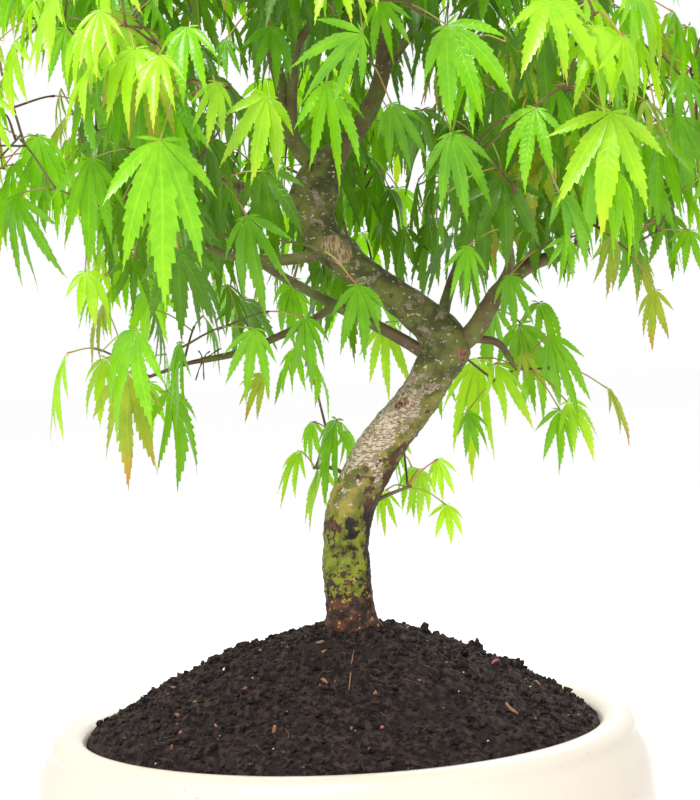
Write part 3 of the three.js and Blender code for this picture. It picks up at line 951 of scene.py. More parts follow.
def bark(tree):
    """Bark that changes up the trunk: dark foot, bright moss, olive skin with pale scales, and painted shade
    from the crown higher up.
    """
    skin = Skin("trunk_bark", Specular_IOR_Level=0.3)
    axes = skin.node("ShaderNodeSeparateXYZ", {"Vector": skin.place}).outputs
    wander = {"start": -BAND_WANDER * MM, "end": BAND_WANDER * MM}
    height = skin.plus(axes["Z"], skin.patches(110, 0.25, 0.75, 4, **wander))
    speckled = skin.plus(height, skin.patches(400, 0.3, 0.7, 2, **wander))
    tone, relief = scaly_bark(skin, axes["X"], height)
    tone = skin.mixed(skin.between(height, MOSS_BELOW), tone, mossy_bark(skin, axes["X"]))
    tone = skin.mixed(skin.between(speckled, FOOT_BELOW), tone, foot_bark(skin))
    streaks = skin.ramp(skin.fibres((900, 900, 300), 2), 0.4, 0.6)
    for kind, pixel, radius in SPOTS:
        stain = skin.mixed(streaks, *STAINS[kind])
        tone = skin.mixed(skin.spot(place_on(tree, pixel), radius), tone, stain)
    skin.shade(Base_Color=tone, Roughness=skin.patches(200, 0.3, 0.7, start=0.5, end=0.9))
    fine = skin.times(skin.grain(900, 4, 0.65), 0.6)
    skin.bump(skin.plus(fine, relief), 0.8, 0.0007)
    return skin.made


def scaly_bark(skin, across, height):
    """Olive skin under pale scales thickest on the left of the lean, both darker up the trunk as painted
    shade from the crown, and its relief.
    """
    # Painted shade of the crown: higher up the trunk the olive and the pale scales turn darker
    up = skin.between(height, CROWN_SHADE_ABOVE)
    patchy = skin.patches(90, 0.38, 0.62)
    low_olive = skin.mixed(patchy, (0.085, 0.09, 0.016), (0.24, 0.2, 0.035))
    olive = skin.mixed(up, low_olive, skin.mixed(patchy, (0.04, 0.045, 0.01), (0.11, 0.115, 0.022)))
    inside = skin.ramp(skin.fibres((480, 480, 1200), 3, 0.55, 0.4), 0.4, 0.52)
    fine = skin.grain(700, 2)
    low_pale = skin.mixed(fine, (0.34, 0.25, 0.175), (0.56, 0.475, 0.35))
    pale = skin.mixed(up, low_pale, skin.mixed(fine, (0.15, 0.12, 0.08), (0.32, 0.28, 0.2)))
    scales = skin.mixed(inside, (0.2, 0.14, 0.08), pale)
    from_lean = skin.maths("MULTIPLY_ADD", height, -LEAN_SLOPE, skin.plus(across, LEAN_FOOT * MM))
    band = skin.times(skin.between(height, PALE_ABOVE), skin.between(height, PALE_BELOW))
    more = skin.times(skin.times(skin.between(from_lean, PALE_SIDE), band), 0.225)
    cover = skin.ramp(skin.plus(skin.grain(95, 5, 0.7), more), 0.56, 0.61)
    flecks = skin.ramp(skin.fibres((420, 420, 700), 2), 0.64, 0.67)
    tone = skin.mixed(cover, skin.mixed(flecks, olive, (0.38, 0.34, 0.24)), scales)
    right = skin.times(skin.between(from_lean, RUST_SIDE), skin.between(height, RUST_BELOW))
    rust = skin.ramp(skin.plus(skin.grain(160, 4), skin.times(right, 0.3)), 0.62, 0.68)
    return skin.mixed(rust, tone, (0.075, 0.035, 0.018)), skin.times(cover, inside)


def mossy_bark(skin, across):
    """Yellow-green moss with dark spots, and a dark edge on the right."""
    moss = skin.mixed(skin.patches(150, 0.35, 0.65), (0.08, 0.098, 0.008), (0.19, 0.215, 0.016))
    spots = skin.ramp(skin.grain(360, 2, 0.6), 0.56, 0.6)
    spotted = skin.mixed(spots, moss, (0.045, 0.018, 0.011))
    right = skin.between(across, DARK_SIDE, 0.3)
    patch = skin.ramp(skin.plus(skin.grain(130, 4), right), 0.63, 0.67)
    return skin.mixed(patch, spotted, (0.022, 0.012, 0.009))


def foot_bark(skin):
    """Dark damp bark in browns, with small yellow flecks of lichen."""
    tone = skin.mixed(skin.patches(240, 0.4, 0.65, 4), (0.014, 0.008, 0.006), (0.105, 0.034, 0.02))
    return skin.mixed(skin.patches(380, 0.62, 0.65), tone, (0.36, 0.23, 0.06))


def limb_bark():
    """The younger bark of the boughs: olive, browner in streaks, with pale pores."""
    skin = Skin("bough_bark", Specular_IOR_Level=0.3)
    olive = skin.mixed(skin.patches(70, 0.38, 0.62), (0.12, 0.13, 0.03), (0.1, 0.06, 0.03))
    skin.shade(Base_Color=skin.mixed(skin.patches(600, 0.66, 0.72, 2), olive, (0.36, 0.33, 0.22)))
    skin.shade(Roughness=skin.patches(200, 0.3, 0.7, start=0.5, end=0.8))
    skin.bump(skin.grain(900, 3), 0.4, 0.0004)
    return skin.made


def twig_skin(name, first, second):
    """Smooth young bark that changes between two tones along a twig."""
    skin = Skin(name, Roughness=0.5)
    skin.shade(Base_Color=skin.mixed(skin.patches(45, 0.4, 0.6), first, second))
    skin.bump(skin.grain(1200), 0.25, 0.0002)
    return skin.made


def leaf_skin(name, dark, light, glow, tip):
    """A leaf's two-sided skin: satin green that lets light through, paler on its ribs, tinted to its tips."""
    skin = Skin(name, Roughness=0.3, Specular_IOR_Level=0.55)
    along = skin.layer("along")
    veins = skin.ramp(skin.maths("SINE", skin.times(along, VEIN_WAVES)), 0.7, 1)
    tips = skin.ramp(along, 0.5, 1, 0, 0.85)
    green = skin.mixed(skin.patches(130, 0.35, 0.65, 2), dark, light)
    tone = skin.mixed(tips, skin.mixed(skin.times(veins, 0.15), green, glow), tip)
    ribs = skin.times(skin.ramp(skin.layer("rib"), 0.84, 1), 0.4)
    skin.shade(Base_Color=skin.mixed(ribs, tone, glow))
    skin.bump(skin.maths("MULTIPLY_ADD", veins, -0.5, skin.grain(500)), 0.35, 0.0005)
    through = skin.node("ShaderNodeBsdfTranslucent", {"Color": skin.mixed(tips, glow, tip)})
    sides = {"Fac": 0.4, 1: skin.shader.outputs[0], 2: through.outputs[0]}
    both = skin.node("ShaderNodeMixShader", sides)
    skin.feed(skin.nodes["Material Output"].inputs["Surface"], both.outputs[0])
    return skin.made


# Bowl


def bowl_radius(z):
    if z > BELLY_LEVEL:
        rise = (z - BELLY_LEVEL) / (SHOULDER_LEVEL - BELLY_LEVEL)
        return BELLY_RADIUS - (BELLY_RADIUS - SHOULDER_RADIUS) * rise**UPPER_POWER
    drop = (BELLY_LEVEL - z) / BELLY_LEVEL
    return BELLY_RADIUS - (BELLY_RADIUS - FOOT_RADIUS - FOOT_BEVEL) * drop**LOWER_POWER


def bowl_profile():
    """Radius and height along the foot, up the outside, over the lip and down the inside to its middle."""
    points = [(FOOT_RADIUS * (i + 1) / FOOT_STEPS, 0) for i in range(FOOT_STEPS)]
    for i in range(1, BEVEL_STEPS + 1):
        turn = math.pi / 2 * i / BEVEL_STEPS
        points.append((FOOT_RADIUS + FOOT_BEVEL * math.sin(turn), FOOT_BEVEL * (1 - math.cos(turn))))
    for i in range(1, SIDE_STEPS + 1):
        z = FOOT_BEVEL + (SHOULDER_LEVEL - FOOT_BEVEL) * i / SIDE_STEPS
        points.append((bowl_radius(z), z))
    middle = (OPENING_RADIUS + SHOULDER_RADIUS) / 2
    half = (SHOULDER_RADIUS - OPENING_RADIUS) / 2
    for i in range(1, LIP_STEPS):
        turn = math.pi * i / LIP_STEPS
        points.append((middle + half * math.cos(turn), SHOULDER_LEVEL + LIP_HEIGHT * math.sin(turn)))
    points.append((OPENING_RADIUS, SHOULDER_LEVEL))
    top = SHOULDER_LEVEL - LIP_HEIGHT
    for i in range(INSIDE_STEPS + 1):
        z = top + (WALL - top) * i / INSIDE_STEPS
        points.append((bowl_radius(z) - WALL, z))
    points.append((BOWL_MIDDLE, WALL))
    return points


def add_bowl():
    points = []
    profile = bowl_profile()
    for radius, z in profile:
        for x, y in around(BOWL_SIDES):
            wobble = WOBBLE * noise.noise(Vector((x, y, z * WOBBLE_WAVES))) * min(1, z / WOBBLE_FULL)
            points.append((x * (radius + wobble), y * (radius + wobble), z))
    add_piece("bowl", points, ring_faces(len(profile), BOWL_SIDES), glaze(), "pot_glaze", ["pot"])


# Soil


def soil_level(x, y):
    """Height of the heap at a place, with its rolling lumps."""
    edge = OPENING_RADIUS - GAP
    shifted = x - TRUNK[0][0] * (1 - min(1, math.hypot(x, y) / edge))
    radius = math.hypot(shifted, y)
    share = min(1, max(0, (radius - SEAT_RADIUS) / (edge - SEAT_RADIUS)))
    level = SOIL_EDGE_LEVEL + (GROUND_LEVEL - GAP - SOIL_EDGE_LEVEL) * (1 - share**HEAP_POWER)
    roll = math.sin(x * ROLL_LARGE[0] + ROLL_START) * math.cos(y * ROLL_LARGE[1])
    roll += SMALL_SHARE * math.sin(x * ROLL_SMALL[0] + y * ROLL_SMALL[1])
    return level + LUMP_HEIGHT * roll * math.sin(math.pi * share)


def from_trunk(x, y):
    """How far a place on the ground is from the trunk's bark."""
    return math.hypot(x - TRUNK[0][0], y) - TRUNK[0][3]


def soil_surface(x, y):
    """Height of the crumbly surface at a place: calmer against the trunk, with a small bank there."""
    rough = 0
    for waves, height in SOIL_GRAINS:
        rough += height * noise.noise(Vector((x * waves, y * waves, waves * GRAIN_LAYER)))
    away = from_trunk(x, y)
    bank = max(0, BANK_HEIGHT - BANK_SLOPE * away)
    return soil_level(x, y) + rough * min(1, max(CALM_SHARE, away / CALM_REACH)) + bank


def add_soil():
    """The heap, with a short skirt down the inside of the lip."""
    edge = OPENING_RADIUS - GAP
    points = [(0, 0, soil_surface(0, 0))]
    for row in range(SOIL_ROWS):
        radius = edge * ((row + 1) / SOIL_ROWS) ** ROW_POWER
        for cosine, sine in around(SOIL_SIDES):
            x, y = radius * cosine, radius * sine
            points.append((x, y, soil_surface(x, y)))
    points.extend((edge * x, edge * y, SHOULDER_LEVEL) for x, y in around(SOIL_SIDES))
    faces = disc_faces(SOIL_ROWS + 1, SOIL_SIDES)
    add_piece("soil_heap", points, faces, earth(), "soil", ["soil"])
    return BVHTree.FromPolygons(points, faces)


def ball_faces():
    """The ball's 20 faces: every three of its corners that are neighbours, facing out."""
    near = 1.1
    faces = []
    for face in itertools.combinations(range(len(BALL_POINTS)), 3):
        corners = BALL_POINTS[list(face)]
        sides = np.linalg.norm(corners - np.roll(corners, 1, axis=0), axis=1)
        if sides.max() > near:
            continue
        outward = np.dot(np.cross(corners[1] - corners[0], corners[2] - corners[0]), corners[0]) > 0
        faces.append(face if outward else (face[0], face[2], face[1]))
    return np.array(faces)


def rough_ball(chance, shares):
    """The ball's corners, each moved in or out by a chance between two shares."""
    return BALL_POINTS * np.array([[chance.uniform(*shares)] for _ in BALL_POINTS])


def random_turn(chance):
    axis = Vector((chance.gauss(0, 1), chance.gauss(0, 1), chance.gauss(0, 1)))
    return np.array(Matrix.Rotation(chance.uniform(0, 2 * math.pi), 3, axis.normalized())).T


def heap_place(chance, edge=HEAP_EDGE):
    """A random place on the heap, evenly over its area."""
    radius = (OPENING_RADIUS - edge) * math.sqrt(chance.random())
    turn = chance.uniform(0, 2 * math.pi)
    return radius * math.cos(turn), radius * math.sin(turn)


def foot_place(chance):
    """A random place close round the trunk's foot."""
    radius = TRUNK[0][3] + chance.uniform(*FOOT_REACH)
    turn = chance.uniform(0, 2 * math.pi)
    return TRUNK[0][0] + radius * math.cos(turn), radius * math.sin(turn)


def add_lumps(name, lumps, surface):
    """Lumps joined in one piece with flat faces, each given by the places of the ball's corners."""
    ball = ball_faces()
    faces = np.concatenate([ball + len(BALL_POINTS) * i for i in range(len(lumps))])
    add_piece(name, np.concatenate(lumps), faces.tolist(), surface, "soil", smooth=False)


def add_clods(name, surface, count, sizes, seed, stretch=1, sunk=0.35, find=heap_place):
    """Rough lumps strewn over the heap, small ones more often than large."""
    chance = random.Random(seed)
    lumps = []
    for _ in range(count):
        x, y = find(chance)
        size = sizes[0] + (sizes[1] - sizes[0]) * chance.random() ** CLOD_POWER
        if from_trunk(x, y) < CLOD_ROOM * size:
            continue
        ball = rough_ball(chance, CLOD_ROUGH)
        sides = np.array([stretch, chance.uniform(*CLOD_WIDE), chance.uniform(*CLOD_TALL)])
        turned = (ball * sides * size) @ random_turn(chance)
        lumps.append(turned + (x, y, soil_surface(x, y) + size * (0.5 - sunk)))
    add_lumps(name, lumps, surface)


def add_seen_clods(surface):
    """The few larger clods of the photo, some of them spiky: a pile of smaller and smaller lumps each."""
    chance = random.Random(PILE_SEED)
    lumps = []
    for across, depth, size, tall in SEEN_CLODS:
        x = seen_at((across, FRAME_PIXELS[1]), depth).x
        for number in range(PILE_LUMPS):
            share = 1 - PILE_SHRINK * number
            turned = (rough_ball(chance, PILE_ROUGH) * size * share / 2) @ random_turn(chance)
            place = (x + chance.uniform(*PILE_SPREAD) * size, depth + chance.uniform(*PILE_SPREAD) * size)
            rise = PILE_SEAT * size + PILE_RISE * number * tall * size
            lumps.append(turned * (1, 1, tall) + (*place, soil_surface(*place) + rise))
    add_lumps("seen_clods", lumps, surface)


def add_seen_bits(heap, skins):
    """The straws and chips of the photo, each lying on the heap between the places of its ends."""
    parts = {skin: [] for skin in skins}
    swells = [math.sin(math.pi * i / BIT_STEPS) for i in range(BIT_STEPS + 1)]
    for start, end, width, skin in SEEN_BITS:
        first, last = place_on(heap, start), place_on(heap, end)
        points = []
        for stop in range(BIT_STOPS + 1):
            x, y, _ = first.lerp(last, stop / BIT_STOPS)
            points.append(Vector((x, y, soil_surface(x, y) + BIT_RISE * width + BIT_LIFT)))
        radii = [width / 2 * (BIT_ENDS + (1 - BIT_ENDS) * swell) for swell in swells]
        parts[skin].append(swept(smooth_line(points, BIT_STEPS), radii, BIT_SIDES))
    for skin, some in parts.items():
        add_piece("seen_" + skin, *joined(some), skins[skin], "soil")


def add_fibres(name, surface, count, lengths, radius, seed):
    """Thin bent fibres that lie on the heap, joined in one piece."""
    chance = random.Random(seed)
    parts = []
    for _ in range(count):
        x, y = heap_place(chance, FIBRE_EDGE)
        if from_trunk(x, y) < FIBRE_ROOM:
            continue
        length = chance.uniform(*lengths)
        turn = chance.uniform(0, 2 * math.pi)
        line = []
        step = length / (FIBRE_POINTS - 1)
        for _ in range(FIBRE_POINTS):
            z = soil_surface(x, y) + radius + FIBRE_LIFT + FIBRE_FLOAT * chance.random()
            line.append(Vector((x, y, z)))
            turn += chance.uniform(*FIBRE_BEND)
            x += step * math.cos(turn)
            y += step * math.sin(turn)
        if math.hypot(x, y) < OPENING_RADIUS - FIBRE_END:
            parts.append(swept(line, [radius] * FIBRE_POINTS, FIBRE_SIDES))
    add_piece(name, *joined(parts), surface, "soil")


def add_soil_bits(heap):
    """Crumbs, clods, chips and fibres strewn over the heap, and those that the photo shows."""
    soil = earth()
    wood = chip("wood_bits", (0.12, 0.05, 0.025), (0.36, 0.18, 0.08))
    fibre = chip("fibre", (0.05, 0.022, 0.014), (0.24, 0.11, 0.055))
    pink = chip("pink_bit", (0.2, 0.03, 0.03), (0.42, 0.12, 0.1))
    pale = chip("white_speck", (0.5, 0.47, 0.42), (0.75, 0.72, 0.66))
    add_seen_clods(soil)
    add_seen_bits(heap, {"wood": wood, "pale": pale, "pink": pink})
    add_clods("soil_crumbs", soil, count=9000, sizes=(0.4, 2), seed=3)
    add_clods("soil_clods", soil, count=640, sizes=(1.4, 3.5), seed=4, sunk=0.2)
    add_clods("foot_crumbs", soil, count=320, sizes=(0.8, 3), seed=8, sunk=0.2, find=foot_place)
    add_clods("wood_chips", wood, count=130, sizes=(0.4, 1.5), seed=5, stretch=2.2)
    add_clods("pink_bits", pink, count=16, sizes=(0.4, 1.3), seed=9, stretch=1.6)
    add_clods("white_specks", pale, count=45, sizes=(0.3, 0.8), seed=6)
    add_fibres("wood_fibres", fibre, count=110, lengths=(3, 9), radius=0.13, seed=7)


# Trunk and limbs


def bark_relief(place, turn, radius):
    """Root ridges, lumps, ring lines, flakes and grit of the bark, in millimetres, less on thin limbs."""
    flare = FLARE_DEPTH * radius * max(0, 1 - (place.z - GROUND_LEVEL) / FLARE_HEIGHT)
    ridges = flare * math.cos(FLARE_RIDGES * turn) if radius > FLARE_LEAST else 0
    lumps = sum(height * noise.noise(place * waves) for waves, height in BARK_LUMPS)
    level = place.z + RING_LEAN * place.x + RING_WANDER * noise.noise(place * RING_WAVES)
    rings = RING_HEIGHT * max(0, math.sin(level * RING_TURN)) ** RING_POWER
    flaky = Vector([at * waves for at, waves in zip(place, FLAKE_WAVES)])
    flakes = FLAKE_HEIGHT * abs(noise.noise(flaky))
    grit = GRIT_HEIGHT * noise.noise(place * GRIT_WAVES)
    return ridges + min(1, radius / FULL_RELIEF) * (lumps + rings + flakes + grit)


def trunk_relief(place, turn, radius):
    """The bark's relief and the trunk's own knobs."""
    knobs = 0
    for centre, reach, height in KNOBS:
        near = (place - Vector(centre)).length / reach
        knobs += height * math.exp(-near * near)
    return bark_relief(place, turn, radius) + knobs


def add_trunk():
    points, radii = limb_line("trunk")
    line = smooth_line(points, TRUNK_RINGS)
    made, faces = swept(line, smooth_girth(radii, TRUNK_RINGS), TRUNK_SIDES, trunk_relief)
    level = [Vector((p.x, p.y, max(p.z, GROUND_LEVEL - TRUNK_SUNK))) for p in made]
    skin = bark(BVHTree.FromPolygons(level, faces))
    add_piece("trunk_bark", level, faces, skin, "bark", ["trunk"])


def add_limbs():
    """The limbs, each with a collar where it leaves its bearer."""
    surface = limb_bark()
    for name, (_, _, radii, _) in LIMBS.items():
        points, thick = limb_line(name)
        rings = LIMB_RINGS * len(points)
        girth = smooth_girth(thick, rings)
        for i in range(rings + 1):
            girth[i] *= 1 + COLLAR_SWELL * max(0, 1 - i / (COLLAR_REACH * rings)) ** 2
        sides = STOUT_SIDES if radii[0] > STOUT_LIMB else LIMB_SIDES
        made, faces = swept(smooth_line(points, rings), girth, sides, bark_relief)
        add_piece(name + "_bark", made, faces, surface, "bark", [name])


# Leaf forms


def lobe_half(share):
    """Half a lobe's width as a share of its greatest, from its foot to its tip."""
    return share**LOBE_FOOT_POWER * (1 - share) ** LOBE_TIP_POWER / LOBE_PEAK


def lobe_rows(angle, length, left, right, chance):
    """A toothed lobe: rows of angle, distance along and off its rib, and nearness to the rib; then faces."""
    steps = LOBE_STEPS if length > SMALL_LOBE else SMALL_LOBE_STEPS
    rows = [(angle, 0, 0, 1)]
    for step in range(1, steps):
        share = step / steps
        rows.append((angle, length * share, 0, 1))
        for side, bound in ((-1, left), (1, right)):
            bites, lean = TOOTH_BITES, 0
            if share > TEETH_FROM:
                tooth = (step + (side > 0)) % 2 == 1
                bites, lean = (TOOTH_BITES, TOOTH_LEAN) if tooth else (NOTCH_BITES, NOTCH_LEAN)
            half = LOBE_HALF * length * lobe_half(share) * chance.uniform(*bites)
            half = min(half, length * share * math.tan(bound / 2))
            rows.append((angle, length * (share + lean), side * half, 0))
    rows.append((angle, length, 0, 1))
    faces = []
    for step in range(steps):
        rib = 3 * step - 2 if step else 0
        ahead = 3 * step + 1 if step < steps - 1 else len(rows) - 1
        for side in (1, 2):
            corners = [rib] + [rib + side] * (step > 0) + [ahead + side] * (step < steps - 1) + [ahead]
            faces.append(tuple(corners if side == 1 else reversed(corners)))
    return rows, faces


def leaf_form(chance):
    """A leaf of seven lobes, laid out flat."""
    lobes = []
    for sign in (-1, 1):
        for angle, length in LOBES[1:] if sign < 0 else LOBES:
            turned = sign * math.radians(angle * chance.uniform(*LOBE_TURNS))
            lobes.append((turned, length * chance.uniform(*LOBE_LENGTHS)))
    lobes.sort()
    parts = []
    for i, (angle, length) in enumerate(lobes):
        left = angle - lobes[i - 1][0] if i > 0 else OUTER_BOUND
        right = lobes[i + 1][0] - angle if i + 1 < len(lobes) else OUTER_BOUND
        parts.append(lobe_rows(angle, length, left, right, chance))
    rows, faces = joined(parts)
    return np.array(rows), faces


def hung_leaf(rows, leaf, chance):
    """A leaf's points in place: its lobes folded along their ribs, twisted, and sagging to the ground."""
    spread = chance.uniform(*SPREAD)
    angle, along, off = rows[:, 0] * spread, rows[:, 1], rows[:, 2] * spread
    axis, normal = np.array(leaf.axis), np.array(leaf.normal)
    side = np.cross(axis, normal)
    heading = np.outer(np.sin(angle), side) + np.outer(np.cos(angle), axis)
    aside = np.outer(np.cos(angle), side) - np.outer(np.sin(angle), axis)
    spine = heading * along[:, None]
    spine -= np.outer(chance.uniform(*SAG) * along**2, UP)
    back = chance.uniform(*BACK) + chance.uniform(*SIDE_BACK) * np.abs(np.sin(angle))
    spine -= np.outer(back * along**2, normal)
    spine *= (along / np.maximum(np.linalg.norm(spine, axis=1), 1e-6))[:, None]
    fold = math.tan(math.radians(chance.uniform(*FOLD)))
    turned = chance.uniform(-TWIST, TWIST) + TWIST * np.sin(angle * TWIST_WAVES + chance.uniform(*PHASE))
    twist = turned * along
    wave = WAVE * along * np.sin(along * WAVES_ALONG + angle * WAVES_ROUND + chance.uniform(*PHASE))
    lift = np.abs(off) * fold + off * np.sin(twist) + wave
    placed = spine + aside * (off * np.cos(twist))[:, None] + np.outer(lift, normal)
    return placed * leaf.length + np.array(leaf.base)


# Growth


class Leaf:
    """A leaf by its place, with the solids' simple outline for quick tests."""

    def __init__(self, base, axis, normal, length, tint=None):
        self.base = base
        self.axis = axis
        self.normal = normal
        self.length = length
        self.tint = tint
        self.middle = base + axis * (length / 2)
        self.spray = None
        side = axis.cross(normal)
        half = [(math.radians(degrees), reach) for degrees, reach in HALF_OUTLINE]
        corners = [base]
        for angle, reach in [(-turn, far) for turn, far in reversed(half)] + [(0, 1)] + half:
            flat = side * (reach * math.sin(angle)) + axis * (reach * math.cos(angle))
            corners.append(base + (flat - normal * (LEAF_CURL * reach**2)) * length)
        fan = [(0, i, i + 1) for i in range(1, len(corners) - 1)]
        self.tree = BVHTree.FromPolygons(corners, fan)
        self.corners = np.array(corners)

    def in_clear_place(self):
        """Whether it would show where the photo has no leaf."""
        halfway = (self.corners + np.array(self.base)) / 2
        for point in (*self.corners, *halfway):
            seen = pixel_of(Vector(point))
            if any(math.dist(seen, middle) < radius for middle, radius in CLEAR_PLACES):
                return True
        return False


def hanging_leaf(facing, lean, size, chance, place=None, base=None):
    """A leaf that faces a way and hangs, with its middle or its foot at a place."""
    hang = math.radians(lean + (chance.random() - 0.5) * LEAN_SPREAD)
    length = size * LEAF_LENGTH * (1 + LEAF_SPREAD * chance.uniform(-1, 1))
    flat = Vector((math.cos(facing), math.sin(facing), 0))
    axis = flat * math.cos(hang) - UP * math.sin(hang)
    normal = flat * math.sin(hang) + UP * math.cos(hang)
    return Leaf(place - axis * (length / 2) if base is None else base, axis, normal, length)


def chosen_leaf(junction, tip, depth, turn, tint):
    """A leaf seen in the photo, turned about its axis from facing the front by some degrees."""
    base = seen_at(junction, depth)
    end = seen_at(tip, depth - TIP_FORWARD)
    axis = (end - base).normalized()
    normal = (FRONT - axis * FRONT.dot(axis)).normalized()
    normal.rotate(Matrix.Rotation(math.radians(turn), 3, axis))
    return Leaf(base, axis, normal, (end - base).length, tint)


def crosses(tree, start, end):
    along = end - start
    return tree.ray_cast(start, along.normalized(), along.length)[0] is not None


class Growth:
    """All leaves and twigs grown so far, with quick tests for what would cross them."""

    def __init__(self, limbs):
        self.limbs = limbs
        self.leaves = []
        self.twigs = []
        self.middles = np.zeros((0, 3))
        self.shown = []
        self.sprays = 0

    def near(self, point, reach=NEAR):
        if not self.leaves:
            return []
        away = np.linalg.norm(self.middles - np.array(point), axis=1)
        return [self.leaves[i] for i in np.nonzero(away < reach)[0]]

    def leaf_fits(self, leaf):
        """Whether a leaf crosses no limb, leaf or twig."""
        if leaf.tree.overlap(self.limbs):
            return False
        if any(leaf.tree.overlap(other.tree) for other in self.near(leaf.middle)):
            return False
        for start, end, middle in self.twigs:
            if (middle - leaf.middle).length < NEAR and crosses(leaf.tree, start, end):
                return False
        return True

    def hides_shown(self, leaf):
        """Whether a leaf would stand in front of one that the photo shows clearly."""
        seen = pixel_of(leaf.middle)
        for middle, radius, depth in self.shown:
            if leaf.middle.y < depth and math.dist(seen, middle) < radius:
                return True
        return False

    def stalk_fits(self, line):
        """Whether a stalk's line crosses no limb or leaf."""
        for start, end in zip(line, line[1:]):
            if crosses(self.limbs, start, end):
                return False
            if any(crosses(leaf.tree, start, end) for leaf in self.near((start + end) / 2)):
                return False
        return True

    def show(self, leaf):
        """Note a leaf that the photo shows clearly, with some room round it and behind."""
        tip = leaf.base + leaf.axis * leaf.length
        size = math.dist(pixel_of(leaf.base), pixel_of(tip))
        self.shown.append((pixel_of(leaf.middle), SHOWN_ROOM * size, leaf.middle.y + SHOWN_DEPTH))

    def add(self, leaf, line):
        self.leaves.append(leaf)
        self.middles = np.vstack((self.middles, leaf.middle))
        self.twigs.extend((a, b, (a + b) / 2) for a, b in zip(line[:-1], line[1:-1]))


def nearest_on(twigs, place):
    """The points on the twigs nearest to a place, kept away from the twigs' ends, nearest first."""
    found = []
    for start, end in twigs:
        along = end - start
        share = (place - start).dot(along) / along.length_squared
        found.append(start + along * min(1 - TWIG_END, max(TWIG_END, share)))
    return sorted(found, key=lambda point: (point - place).length)[:ROOT_TRIES]


def find_stalk(leaf, twigs, growth):
    """The line of a stalk to a leaf's foot from the nearest twig that it can reach, by an elbow if far."""
    foot = leaf.base
    for root in nearest_on(twigs, foot):
        gap = (root - foot).length
        if gap < STALK_LENGTH / 2:
            continue
        lines = [[root, foot]] if gap <= TWIG_REACH else []
        if gap > STALK_LENGTH:
            for arch in TWIG_ARCHES:
                elbow = foot.lerp(root, STALK_LENGTH / gap) + UP * min(arch * gap, TWIG_RISE)
                lines.append([root, elbow, foot])
        for line in lines:
            open_line = [*line[:-1], foot.lerp(line[-2], STALK_GAP)]
            clear = not any(crosses(leaf.tree, a, b) for a, b in zip(open_line, open_line[1:]))
            if clear and growth.stalk_fits(open_line):
                return line
    return None


def reach_in(ball, points):
    """How far out points lie in a ball: 1 is its surface."""
    return np.linalg.norm((points - np.array(ball[0])) / np.array(ball[1]), axis=1)


def planes_of(name):
    """The planes between a mass's space and the others, as outward directions and distances."""
    centre, _, size = SPACES[name]
    normals, limits = [], []
    for other, (middle, _, other_size) in SPACES.items():
        if other == name:
            continue
        apart = middle - centre
        share = apart.length * size / (size + other_size)
        normals.append(apart.normalized())
        limits.append(normals[-1].dot(centre) + share - GAP)
    return np.array(normals), np.array(limits)


